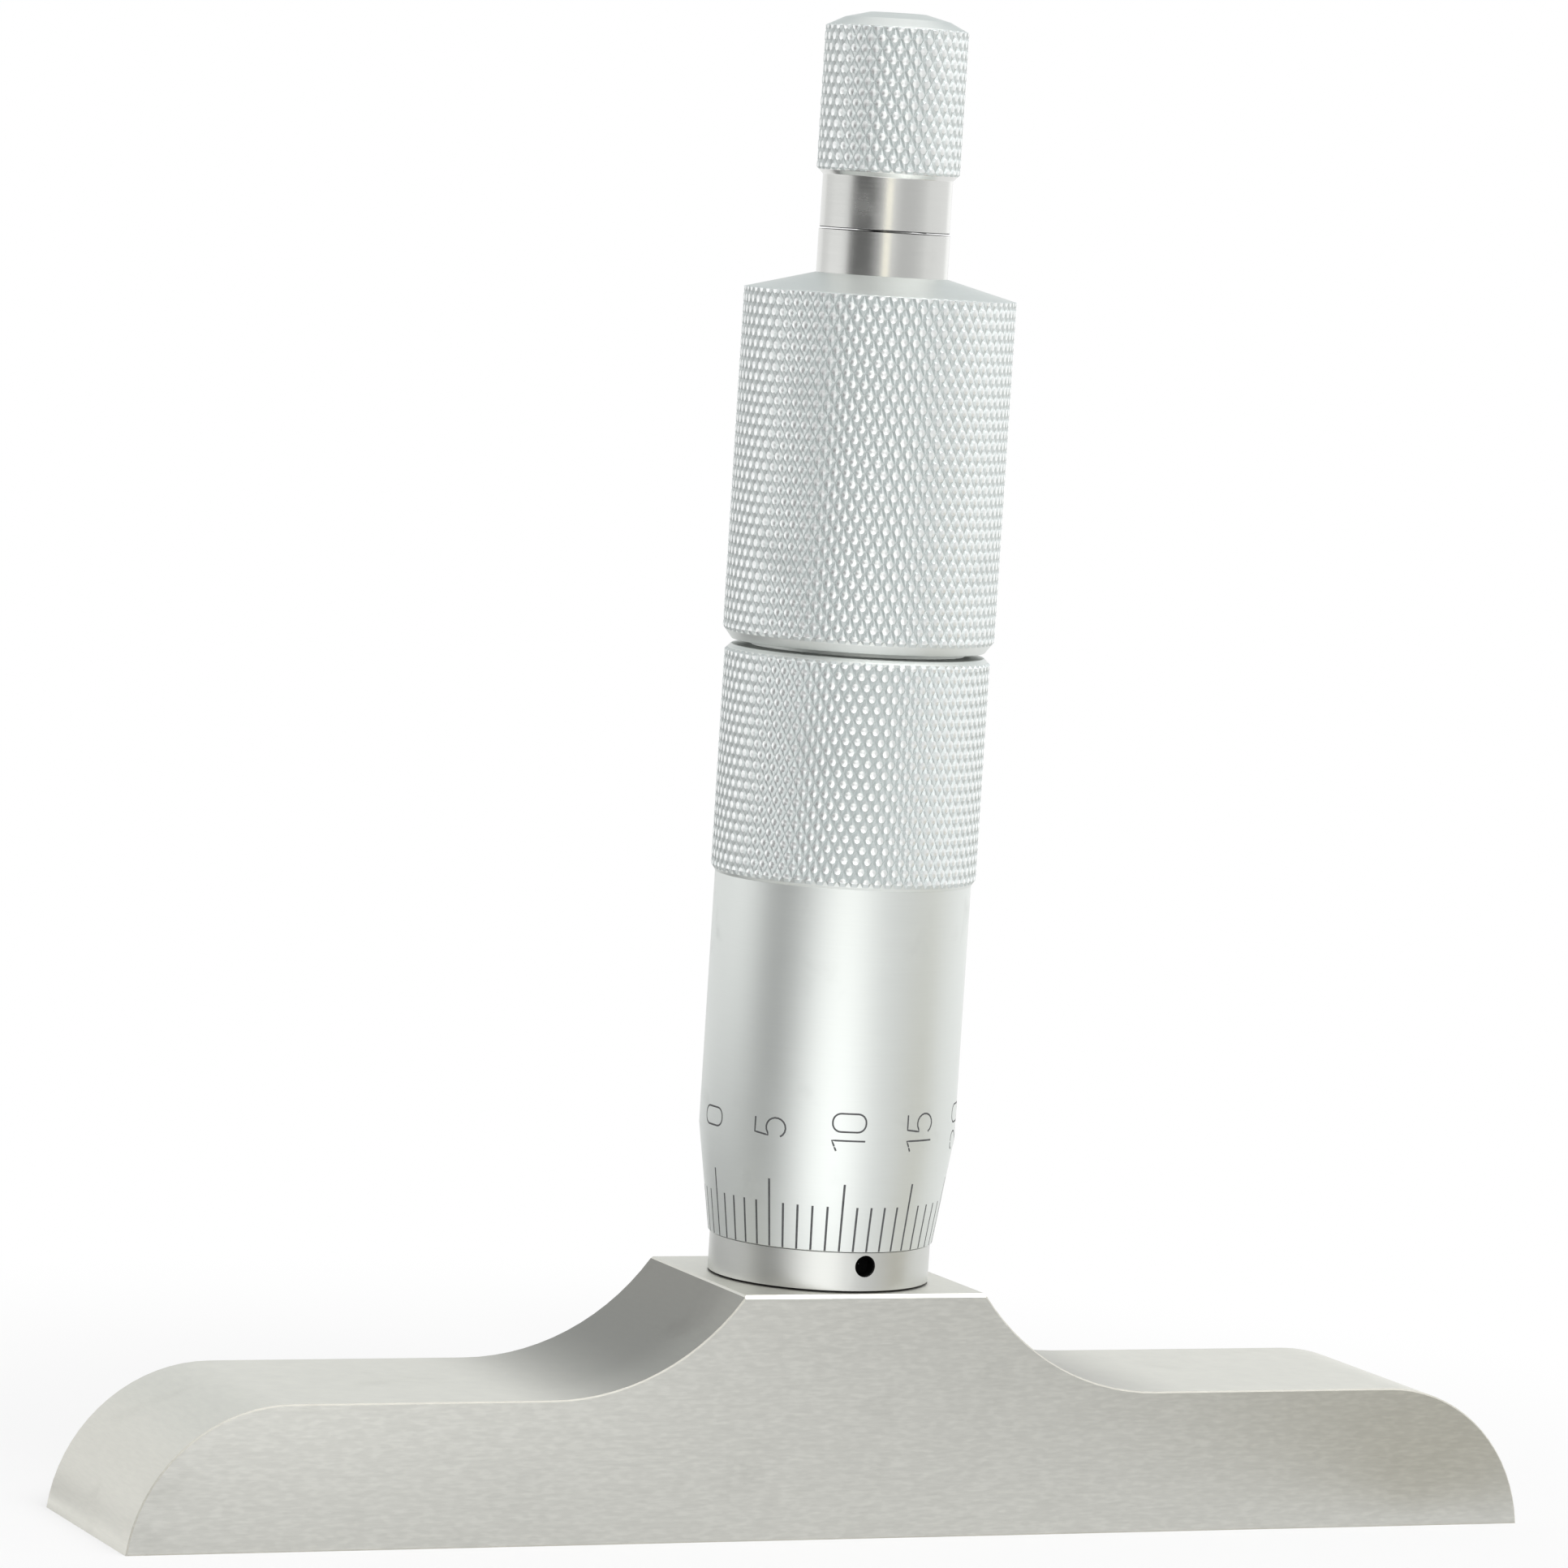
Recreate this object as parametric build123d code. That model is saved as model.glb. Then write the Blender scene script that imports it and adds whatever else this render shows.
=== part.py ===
from build123d import *
import os
from math import cos, radians, sin

# Depth micrometer head for interchangeable rods, in millimetres. The origin is the centre of the
# measuring face under the base, +Z runs up the spindle and X along the base. The thimble is at its
# lowest position.

# Base block
base_length = 101.5
base_width = 16.0
base_height = 16.4
boss_length = 17.4
wing_height = 9.6
end_reach = 10.7
shoulder_reach = 13.3
edge_break = 0.1
boss_edge_chamfer = 0.24
base_floor = 4.0

# Measuring rod that the head is made for
rod_diameter = 4.0
rod_guide_gap = 0.05
rod_passage_gap = 0.2

# Radial gaps: parts pressed or screwed home, and parts that turn or slide on each other
seat_gap = 0.02
running_gap = 0.04

# Screw and barrel
screw_diameter = 9.0
screw_travel = 25.5
screw_end_gap = 0.6
thread_overlap = 3.9
barrel_diameter = 12.0
barrel_relief_gap = 0.4
barrel_head_gap = 1.2
nose_diameter = 11.6
nose_taper = 0.4
nose_proud = 0.8
slot_count = 3
slot_width = 0.6
slot_length = 9.0

# Adjusting nut on the barrel's slotted nose
adjusting_nut_diameter = 13.4
adjusting_nut_length = 4.0
nut_notch_count = 4
nut_notch_width = 1.2
nut_notch_depth = 0.5
nut_notch_length = 2.0

# Sleeve
sleeve_diameter = 14.0
sleeve_end_gap = 0.2
flange_diameter = 14.8
flange_height = 2.54
flange_gap = 0.14
spanner_hole_diameter = 1.45
spanner_hole_rise = 1.65
spanner_hole_depth = 1.1

# Thimble
thimble_edge_gap = 0.06
thimble_edge_diameter = 15.06
thimble_edge_wall = 0.35
thimble_diameter = 17.14
bevel_length = 7.15
smooth_length = 17.0
thimble_knurl_diameter = 17.8
thimble_knurl_length = 14.75
knurl_chamfer = 0.5
thimble_top_diameter = 16.9
thimble_top_chamfer = 0.45
web_drop = 4.6
web_thickness = 2.9
neck_diameter = 15.0
neck_bore = 12.8
neck_length = 7.5

# Spindle head and the nut that clamps the thimble on its taper
cone_large_diameter = 10.6
cone_small_diameter = 9.6
cone_collar = 0.6
spindle_thread_diameter = 8.4
spindle_proud = 0.6
thimble_nut_diameter = 12.2
thimble_nut_height = 2.6
thimble_nut_slot_width = 1.4
thimble_nut_slot_depth = 1.0
seat_ring_diameter = 6.8
seat_ring_height = 1.2

# Thimble cap
cap_gap = 0.35
cap_rim_diameter = 16.9
cap_rim_chamfer = 0.85
cap_diameter = 18.2
cap_knurl_length = 22.5
cap_cone_height = 1.25
cap_thread_relief = 0.5
cap_bore = 13.6
cap_end_thickness = 4.0

# Ratchet body and its nut
collar_diameter = 8.75
collar_height = 2.87
spigot_diameter = 6.0
spigot_proud = 0.2
ratchet_nut_width = 9.0
ratchet_nut_height = 2.4
post_diameter = 3.6
post_neck_diameter = 2.4
post_neck_drop = 0.2

# Ratchet ring, spring and cross pin
spring_diameter = 6.4
spring_wire = 0.45
spring_turns = 3
spring_chords = 16
spring_sides = 6
spring_height = 2.3
spring_play = 0.02
ring_side_gap = 0.15
ring_height = 2.6
tooth_count = 12
tooth_height = 0.6
tooth_inner_radius = 2.1
tooth_fill = 0.95
tooth_side_gap = 0.04
tooth_mesh_gap = 0.08
tooth_root_sink = 0.2
pin_diameter = 1.0
pin_length = 6.2
pin_rise = 0.6
pin_slot_gap = 0.05

# Ratchet knob
knob_gap = 0.12
skirt_diameter = 8.65
skirt_height = 3.5
knob_diameter = 9.6
knob_step = 0.48
knob_knurl_length = 9.3
knob_bevel_diameter = 7.0
knob_bevel_height = 0.65
knob_cone_height = 0.4
knob_top_diameter = 3.8
knob_bore = 7.4
plate_thickness = 1.3
knob_play = 0.1
recess_diameter = 3.4
recess_depth = 1.8

# Knob screw and washer
washer_diameter = 3.3
washer_thickness = 0.4
washer_hole_gap = 0.1
screw_head_diameter = 3.0
screw_head_height = 1.0
screw_shank_diameter = 1.4
screw_shank_length = 4.0
screw_slot_width = 0.5
screw_slot_depth = 0.5

# Heights, worked up from the measuring face
flange_bottom = base_height + flange_gap
flange_top = flange_bottom + flange_height
thimble_bottom = flange_top + thimble_edge_gap
bevel_top = thimble_bottom + bevel_length
thimble_knurl_bottom = bevel_top + smooth_length
thimble_knurl_top = thimble_knurl_bottom + thimble_knurl_length
thimble_shoulder = thimble_knurl_top + thimble_top_chamfer
neck_top = thimble_shoulder + neck_length
web_bottom = thimble_knurl_top - web_drop
web_top = web_bottom + web_thickness
thimble_nut_top = web_top + thimble_nut_height
spindle_top = thimble_nut_top + spindle_proud
spindle_bottom = base_floor + screw_end_gap
barrel_top = web_bottom - barrel_head_gap
adjusting_nut_top = barrel_top - nose_proud
nose_bottom = adjusting_nut_top - adjusting_nut_length
sleeve_top = nose_bottom - sleeve_end_gap
nut_thread_bottom = spindle_bottom + screw_travel + thread_overlap
cap_bottom = thimble_shoulder + cap_gap
cap_knurl_bottom = cap_bottom + cap_rim_chamfer
cap_knurl_top = cap_knurl_bottom + cap_knurl_length
cap_top = cap_knurl_top + cap_cone_height
cap_thread_top = neck_top + cap_thread_relief
cap_ceiling = cap_top - cap_end_thickness
spigot_bottom = cap_ceiling - ratchet_nut_height - spigot_proud
collar_top = cap_top + collar_height
ring_bottom = collar_top + spring_height
tooth_root = ring_bottom + ring_height
plate_bottom = tooth_root + tooth_mesh_gap
plate_top = plate_bottom + tooth_height + plate_thickness
knob_bottom = collar_top + knob_gap
skirt_top = knob_bottom + skirt_height
knob_knurl_bottom = skirt_top + knob_step
knob_knurl_top = knob_knurl_bottom + knob_knurl_length
knob_bevel_top = knob_knurl_top + knob_bevel_height
knob_top = knob_bevel_top + knob_cone_height
hub_top = knob_top - recess_depth
post_neck_bottom = plate_top - post_neck_drop
post_top = hub_top + knob_play
screw_head_bottom = post_top + washer_thickness
screw_head_top = screw_head_bottom + screw_head_height

# Radii that follow from the fits
rod_guide_radius = rod_diameter / 2 + rod_guide_gap
rod_passage_radius = rod_diameter / 2 + rod_passage_gap
screw_radius = screw_diameter / 2
barrel_radius = barrel_diameter / 2
thimble_bore_radius = thimble_edge_diameter / 2 - thimble_edge_wall
ring_radius = knob_bore / 2 - ring_side_gap
post_radius = post_diameter / 2
post_neck_radius = post_neck_diameter / 2
shank_radius = screw_shank_diameter / 2


def turned(*outline):
    """Solid turned about Z from a closed outline of (radius, height) points."""
    return revolve(Plane.XZ * make_face(Polyline(*outline, close=True)), Axis.Z)


def tube(outer, inner, bottom, top):
    """Plain ring about Z."""
    return turned((inner, bottom), (outer, bottom), (outer, top), (inner, top))


def drill(radius, bottom, top):
    """Round cutter about Z."""
    return Pos(0, 0, bottom) * Cylinder(radius, top - bottom, align=(Align.CENTER, Align.CENTER, Align.MIN))


def cross_cut(width, length, bottom, top):
    """Straight cutter right across the axis."""
    return Pos(0, 0, bottom) * Box(length, width, top - bottom, align=(Align.CENTER, Align.CENTER, Align.MIN))


def radial_cuts(count, width, inner, outer, bottom, top):
    """Straight cutters that point outwards, spread evenly about Z."""
    cutter = Box(outer - inner, width, top - bottom, align=(Align.MIN, Align.CENTER, Align.MIN))
    return [Rot(0, 0, 360 / count * index) * Pos(inner, 0, bottom) * cutter for index in range(count)]


def base_block():
    """Ground bridge: round ends, flat wings and a boss with hollow shoulders."""
    half = base_length / 2
    boss = boss_length / 2
    wing_outer = half - end_reach
    wing_inner = boss + shoulder_reach
    end = TangentArc((wing_outer, wing_height), (half, 0), tangent=(1, 0))
    shoulder = TangentArc((wing_inner, wing_height), (boss, base_height), tangent=(-1, 0))
    wing = Line((wing_outer, wing_height), (wing_inner, wing_height))
    right = [end, wing, shoulder]
    left = [mirror(edge, Plane.YZ) for edge in right]
    bottom = Line((-half, 0), (half, 0))
    top = Line((-boss, base_height), (boss, base_height))
    profile = make_face([*right, *left, bottom, top])
    block = extrude(Plane.XZ * profile, base_width / 2, both=True)

    def is_boss_edge(edge):
        return edge.center().Z > base_height - 2 * boss_edge_chamfer

    rims = block.faces().filter_by(Axis.Y).edges()
    block = chamfer([edge for edge in rims if is_boss_edge(edge)], boss_edge_chamfer)
    rims = block.faces().filter_by(Axis.Y).edges()
    block = chamfer([edge for edge in rims if not is_boss_edge(edge)], edge_break)
    return block - drill(rod_guide_radius, 0, base_height) - drill(barrel_radius, base_floor, base_height)


def barrel_stem():
    """Tube fixed in the base, with the nut thread in a slotted, tapered nose."""
    outer = barrel_radius - seat_gap
    bore = screw_radius + running_gap
    relief = bore + barrel_relief_gap
    nose = nose_diameter / 2
    stem = turned(
        (relief, base_floor),
        (outer, base_floor),
        (outer, nose_bottom),
        (nose, nose_bottom),
        (nose - nose_taper / 2, barrel_top),
        (bore, barrel_top),
        (bore, nut_thread_bottom),
        (relief, nut_thread_bottom),
    )
    return stem - radial_cuts(slot_count, slot_width, 0, barrel_radius, barrel_top - slot_length, barrel_top)


def adjusting_nut():
    """Taper nut round the barrel's nose, with notches for a spanner."""
    outer = adjusting_nut_diameter / 2
    slope = nose_taper / 2 / (barrel_top - nose_bottom)
    inner_low = nose_diameter / 2 + seat_gap
    inner_high = inner_low - slope * adjusting_nut_length
    top = adjusting_nut_top
    nut = turned((inner_low, nose_bottom), (outer, nose_bottom), (outer, top), (inner_high, top))
    floor = outer - nut_notch_depth
    bottom = top - nut_notch_length
    return nut - radial_cuts(nut_notch_count, nut_notch_width, floor, adjusting_nut_diameter, bottom, top)


def scale_sleeve():
    """Zero-set sleeve that turns on the barrel, with a spanner hole at the front of its flange."""
    inner = barrel_radius - seat_gap + running_gap
    sleeve = turned(
        (inner, flange_bottom),
        (flange_diameter / 2, flange_bottom),
        (flange_diameter / 2, flange_top),
        (sleeve_diameter / 2, flange_top),
        (sleeve_diameter / 2, sleeve_top),
        (inner, sleeve_top),
    )
    floor = spanner_hole_depth - flange_diameter / 2
    hole = drill(spanner_hole_diameter / 2, 0, flange_diameter)
    return sleeve - Pos(0, floor, flange_bottom + spanner_hole_rise) * Rot(90, 0, 0) * hole


def screw_spindle():
    """Hollow micrometer screw with a taper for the thimble and a counterbored rod seat."""
    seat_radius = seat_ring_diameter / 2
    seat_floor = spindle_top - seat_ring_height
    return turned(
        (rod_passage_radius, spindle_bottom),
        (screw_radius, spindle_bottom),
        (screw_radius, web_bottom - cone_collar),
        (cone_large_diameter / 2, web_bottom - cone_collar),
        (cone_large_diameter / 2, web_bottom),
        (cone_small_diameter / 2, web_top),
        (spindle_thread_diameter / 2, web_top),
        (spindle_thread_diameter / 2, spindle_top),
        (seat_radius, spindle_top),
        (seat_radius, seat_floor),
        (rod_passage_radius, seat_floor),
    )


def rod_seat_ring():
    """Hardened ring in the spindle's head that a rod's head rests on."""
    outer = seat_ring_diameter / 2 - running_gap
    return tube(outer, rod_guide_radius, spindle_top - seat_ring_height, spindle_top)


def thimble():
    """Thimble: thin bevelled edge, smooth body, knurled band, end web and a neck for the cap."""
    body = thimble_diameter / 2
    band = thimble_knurl_diameter / 2
    return turned(
        (thimble_bore_radius, thimble_bottom),
        (thimble_edge_diameter / 2, thimble_bottom),
        (body, bevel_top),
        (body, thimble_knurl_bottom),
        (band, thimble_knurl_bottom + knurl_chamfer),
        (band, thimble_knurl_top),
        (thimble_top_diameter / 2, thimble_shoulder),
        (neck_diameter / 2, thimble_shoulder),
        (neck_diameter / 2, neck_top),
        (neck_bore / 2, neck_top),
        (neck_bore / 2, web_top),
        (cone_small_diameter / 2 + seat_gap, web_top),
        (cone_large_diameter / 2 + seat_gap, web_bottom),
        (thimble_bore_radius, web_bottom),
    )


def thimble_nut():
    """Slotted ring nut on the spindle's thread, against the thimble's web."""
    outer = thimble_nut_diameter / 2
    nut = tube(outer, spindle_thread_diameter / 2 + seat_gap, web_top, thimble_nut_top)
    slot_floor = thimble_nut_top - thimble_nut_slot_depth
    return nut - cross_cut(thimble_nut_slot_width, thimble_nut_diameter, slot_floor, thimble_nut_top)


def thimble_cap():
    """Long cap that screws on the thimble's neck and holds a rod's head down."""
    thread = neck_diameter / 2 + running_gap
    band = cap_diameter / 2
    hole = spigot_diameter / 2 + seat_gap
    return turned(
        (thread, cap_bottom),
        (cap_rim_diameter / 2, cap_bottom),
        (band, cap_knurl_bottom),
        (band, cap_knurl_top),
        (collar_diameter / 2, cap_top),
        (hole, cap_top),
        (hole, cap_ceiling),
        (cap_bore / 2, cap_ceiling),
        (cap_bore / 2, cap_thread_top),
        (thread, cap_thread_top),
    )


def ratchet_body():
    """Polished collar on the cap, with a threaded spigot below and the knob's post above."""
    spigot = spigot_diameter / 2
    screw_floor = post_top - screw_shank_length
    body = turned(
        (0, spigot_bottom),
        (spigot, spigot_bottom),
        (spigot, cap_top),
        (collar_diameter / 2, cap_top),
        (collar_diameter / 2, collar_top),
        (post_radius, collar_top),
        (post_radius, post_neck_bottom),
        (post_neck_radius, post_neck_bottom),
        (post_neck_radius, post_top),
        (shank_radius + seat_gap, post_top),
        (shank_radius + seat_gap, screw_floor),
        (0, screw_floor),
    )
    pin_hole = Rot(0, 90, 0) * Cylinder(pin_diameter / 2 + seat_gap, collar_diameter)
    return body - Pos(0, 0, ring_bottom + pin_rise) * pin_hole


def ratchet_nut():
    """Hexagon nut that holds the ratchet body in the cap's end wall."""
    bottom = cap_ceiling - ratchet_nut_height
    hexagon = RegularPolygon(ratchet_nut_width / 2, 6, major_radius=False)
    nut = extrude(Pos(0, 0, bottom) * hexagon, ratchet_nut_height)
    return nut - drill(spigot_diameter / 2 + seat_gap, bottom, cap_ceiling)


def ratchet_pin():
    """Cross pin through the post that keeps the ring from turning."""
    return Pos(0, 0, ring_bottom + pin_rise) * Rot(0, 90, 0) * Cylinder(pin_diameter / 2, pin_length)


def saw_teeth(width, height, bottom):
    """Ring of radial teeth, each with one upright side and one sloping side."""
    half = width / 2
    sunk = -tooth_root_sink
    profile = make_face(Polyline((-half, sunk), (half, sunk), (half, height), (-half, 0), close=True))
    tooth = extrude(Plane.YZ * profile, knob_bore)
    teeth = [Rot(0, 0, 360 / tooth_count * index) * Pos(0, 0, bottom) * tooth for index in range(tooth_count)]
    band = tube(ring_radius, tooth_inner_radius, bottom - tooth_root_sink, bottom + height)
    return [tooth & band for tooth in teeth]


def tooth_width():
    """Width of one tooth, as wide as the inner end of the ring leaves room for."""
    return 2 * tooth_inner_radius * sin(radians(180 / tooth_count)) * tooth_fill


def ratchet_ring():
    """Sliding ring with saw teeth on top and a slot below for the cross pin."""
    slot_width_free = pin_diameter + 2 * pin_slot_gap
    slot_top = ring_bottom + pin_rise + pin_diameter / 2 + tooth_height + pin_slot_gap
    ring = tube(ring_radius, post_radius + running_gap, ring_bottom, tooth_root)
    ring = ring.fuse(*saw_teeth(tooth_width(), tooth_height, tooth_root))
    return ring - cross_cut(slot_width_free, knob_bore, ring_bottom, slot_top)


def knob_tooth_plate():
    """Plate in the knob with pockets that match the ring's saw teeth."""
    plate = tube(knob_bore / 2 - seat_gap, post_radius + running_gap, plate_bottom, plate_top)
    pockets = saw_teeth(tooth_width() + 2 * tooth_side_gap, tooth_height + tooth_mesh_gap, tooth_root)
    return plate - pockets


def ratchet_spring():
    """Open coil spring between the collar and the ring, bent from short straight lengths of wire."""
    coil_radius = (spring_diameter - spring_wire) / 2
    coil_height = spring_height - spring_wire - 2 * spring_play
    steps = spring_turns * spring_chords
    turn = radians(360 / spring_chords)
    rise = coil_height / steps
    points = [(coil_radius * cos(turn * i), coil_radius * sin(turn * i), rise * i) for i in range(steps + 1)]
    path = Polyline(*points)
    section = Plane(path @ 0, z_dir=path % 0) * RegularPolygon(spring_wire / 2, spring_sides)
    coil = sweep(section, path, transition=Transition.RIGHT)
    return Pos(0, 0, collar_top + spring_play + spring_wire / 2) * coil


def ratchet_knob():
    """Knob: polished skirt, knurled head with a low rounded top, and a small recess there for the screw."""
    hub = post_neck_radius + running_gap
    return turned(
        (knob_bore / 2, knob_bottom),
        (skirt_diameter / 2, knob_bottom),
        (skirt_diameter / 2, skirt_top),
        (knob_diameter / 2, knob_knurl_bottom),
        (knob_diameter / 2, knob_knurl_top),
        (knob_bevel_diameter / 2, knob_bevel_top),
        (knob_top_diameter / 2, knob_top),
        (recess_diameter / 2, knob_top),
        (recess_diameter / 2, hub_top),
        (hub, hub_top),
        (hub, plate_top),
        (knob_bore / 2, plate_top),
    )


def knob_washer():
    """Plain washer on the post's end that keeps the knob on."""
    return tube(washer_diameter / 2, shank_radius + washer_hole_gap, post_top, screw_head_bottom)


def knob_screw():
    """Slotted cheese-head screw in the post's end."""
    shank_end = post_top - screw_shank_length
    screw = turned(
        (0, shank_end),
        (shank_radius, shank_end),
        (shank_radius, screw_head_bottom),
        (screw_head_diameter / 2, screw_head_bottom),
        (screw_head_diameter / 2, screw_head_top),
        (0, screw_head_top),
    )
    slot_floor = screw_head_top - screw_slot_depth
    return screw - cross_cut(screw_slot_width, screw_head_diameter, slot_floor, screw_head_top)


pieces = {
    "base": base_block(),
    "barrel": barrel_stem(),
    "adjusting_nut": adjusting_nut(),
    "sleeve": scale_sleeve(),
    "spindle": screw_spindle(),
    "rod_seat_ring": rod_seat_ring(),
    "thimble": thimble(),
    "thimble_nut": thimble_nut(),
    "thimble_cap": thimble_cap(),
    "ratchet_body": ratchet_body(),
    "ratchet_nut": ratchet_nut(),
    "ratchet_pin": ratchet_pin(),
    "ratchet_ring": ratchet_ring(),
    "ratchet_spring": ratchet_spring(),
    "knob_tooth_plate": knob_tooth_plate(),
    "ratchet_knob": ratchet_knob(),
    "knob_washer": knob_washer(),
    "knob_screw": knob_screw(),
}

os.makedirs("parts", exist_ok=True)
for node, solid in pieces.items():
    export_step(solid, f"parts/{node}.step")
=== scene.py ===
"""Depth micrometer: knurling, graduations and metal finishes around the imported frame."""

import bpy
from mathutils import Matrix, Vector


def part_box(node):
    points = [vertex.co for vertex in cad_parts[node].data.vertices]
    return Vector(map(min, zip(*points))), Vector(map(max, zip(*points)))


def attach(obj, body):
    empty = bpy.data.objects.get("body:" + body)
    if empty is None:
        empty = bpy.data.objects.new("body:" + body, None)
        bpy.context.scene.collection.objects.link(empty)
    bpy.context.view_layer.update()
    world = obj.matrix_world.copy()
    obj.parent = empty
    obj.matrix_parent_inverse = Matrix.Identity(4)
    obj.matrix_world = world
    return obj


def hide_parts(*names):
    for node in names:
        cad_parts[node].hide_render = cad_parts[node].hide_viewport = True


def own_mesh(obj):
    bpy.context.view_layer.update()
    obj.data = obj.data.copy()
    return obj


bl_info = {
    "name": "Depth Micrometer",
    "version": (1, 0, 0),
    "blender": (4, 5, 0),
    "location": "View3D > Sidebar > Micrometer",
    "description": "Dresses the depth micrometer's frame with knurling, graduations and metal finishes",
    "category": "Object",
}

import math

import bmesh
import bpy
from bpy.props import FloatProperty, FloatVectorProperty, IntProperty, PointerProperty
from bpy.types import Operator, Panel, PropertyGroup
from mathutils import Matrix, Vector

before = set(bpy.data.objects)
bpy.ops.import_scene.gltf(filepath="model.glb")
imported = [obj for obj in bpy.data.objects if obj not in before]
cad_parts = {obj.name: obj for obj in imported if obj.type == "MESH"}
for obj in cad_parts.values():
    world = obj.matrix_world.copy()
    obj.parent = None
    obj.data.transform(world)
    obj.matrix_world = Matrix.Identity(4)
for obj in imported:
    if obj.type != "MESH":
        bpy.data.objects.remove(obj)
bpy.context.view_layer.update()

MM = 0.001
TURN = 2.0 * math.pi


def length(name, description, millimetres):
    """A size property, given in millimetres and kept in metres."""
    return FloatProperty(name=name, description=description, default=millimetres * MM, min=0.0, precision=5,
                         unit="LENGTH")


def height_of(node, end):
    """Height of a node's low (0) or high (1) end, in millimetres."""
    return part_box(node)[end].z / MM


def diameter_of(node):
    """Outer diameter of a turned node, in millimetres."""
    low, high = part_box(node)
    return (high.x - low.x) / MM


def amount(name, description, default, low=0.0, high=1.0):
    """A plain number between two limits."""
    return FloatProperty(name=name, description=description, default=default, min=low, max=high)


def angle(name, description, degrees):
    """An angle property, given in degrees."""
    return FloatProperty(name=name, description=description, default=math.radians(degrees), subtype="ANGLE")


def tint(name, description, colour):
    """A colour property."""
    return FloatVectorProperty(name=name, description=description, default=colour, size=3, min=0.0, max=1.0,
                               subtype="COLOR")


def count(name, description, default):
    """A whole number property."""
    return IntProperty(name=name, description=description, default=default, min=1)


class ThimbleSizes(PropertyGroup):
    """Sizes of the graduated thimble."""
    bottom: length("Bottom", "Height of the graduated edge", height_of("thimble", 0))
    top: length("Top", "Height of the threaded neck's end", height_of("thimble", 1))
    bore: length("Bore", "Diameter of the bore that runs over the sleeve", 14.36)
    edge: length("Edge", "Diameter of the graduated edge", 15.06)
    body: length("Body", "Diameter of the smooth body", 17.14)
    crest: length("Knurl", "Diameter over the knurl", diameter_of("thimble"))
    bevel_rise: length("Bevel rise", "Height of the graduated bevel", 7.15)
    body_rise: length("Body rise", "Height of the smooth body above the bevel", 17.0)
    lead_in: length("Lead-in", "Height of the step from the body to the knurl", 0.5)
    knurl_rise: length("Knurl rise", "Height of the knurled band", 14.25)
    rim_chamfer: length("Rim chamfer", "Chamfer above the knurled band", 0.45)
    neck: length("Neck", "Diameter over the neck's thread", 15.0)
    neck_bore: length("Neck bore", "Diameter of the hollow neck", 12.8)
    web_bottom: length("Web bottom", "Height of the web's underside", 53.44)
    web_top: length("Web top", "Height of the web's upper face", 56.34)
    taper_low: length("Taper low", "Diameter of the taper seat below", 10.64)
    taper_high: length("Taper high", "Diameter of the taper seat above", 9.64)
    columns: count("Knurl columns", "Diamonds around the knurl", 72)
    rows: count("Knurl rows", "Half-rows of diamonds up the knurl", 21)
    thread_pitch: length("Thread pitch", "Pitch of the neck's thread", 0.75)
    thread_depth: length("Thread depth", "Depth of the neck's thread", 0.42)
    thread_margin: length("Thread margin", "Plain neck left below and above the thread", 0.45)


class SleeveSizes(PropertyGroup):
    """Sizes of the sleeve's flange and spanner hole."""
    tube: length("Tube", "Diameter of the scale tube", 14.0)
    flange_top: length("Flange top", "Height of the flange's upper face", 19.08)
    hole: length("Hole", "Diameter of the spanner hole", 1.45)
    hole_level: length("Hole level", "Height of the spanner hole's middle", 18.19)
    hole_floor: length("Hole floor", "Distance of the spanner hole's floor from the axis", 6.3)
    hole_depth: length("Hole depth", "Depth of the spanner hole", 1.1)
    # Painted shade: thickness of the dark cup that lines the spanner hole
    lining: length("Lining", "Thickness of the dark film in the spanner hole", 0.03)


class ScaleSizes(PropertyGroup):
    """Sizes of the engraved graduations and numbers."""
    divisions: count("Divisions", "Lines around the thimble", 50)
    long_line: length("Long line", "Length of every fifth line", 4.6)
    short_line: length("Short line", "Length of the other lines", 3.05)
    line_width: length("Line width", "Width of a graduation line", 0.16)
    stroke_width: length("Stroke width", "Width of a number's stroke", 0.12)
    digit_height: length("Digit height", "Height of a number", 2.25)
    number_level: length("Number level", "Height of the numbers' middle on the thimble", 27.25)
    ten_angle: angle("Ten's angle", "Where the line of number 10 stands around the axis", -105.0)
    sleeve_zero: length("Sleeve zero", "Height of the zero line on the sleeve", 44.43)
    sleeve_range: count("Sleeve range", "Whole millimetres on the sleeve", 25)
    sleeve_long_line: length("Sleeve long line", "Length of every fifth line on the sleeve", 2.6)
    sleeve_line: length("Sleeve line", "Length of the other lines on the sleeve", 1.7)
    sleeve_digit: length("Sleeve digit", "Height of a number on the sleeve", 2.0)
    sleeve_number: length("Sleeve number", "Distance of the numbers from the index line", 4.0)
    index_overrun: length("Index overrun", "How far the index line runs past the scale's ends", 0.4)
    line_start: length("Line start", "Distance of a line on the thimble from its edge", 0.04)
    sleeve_index: angle("Index angle", "Where the sleeve's index line stands around the axis", 90.0)
    proud: length("Fill height", "How far the fill stands off the metal", 0.004)


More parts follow.
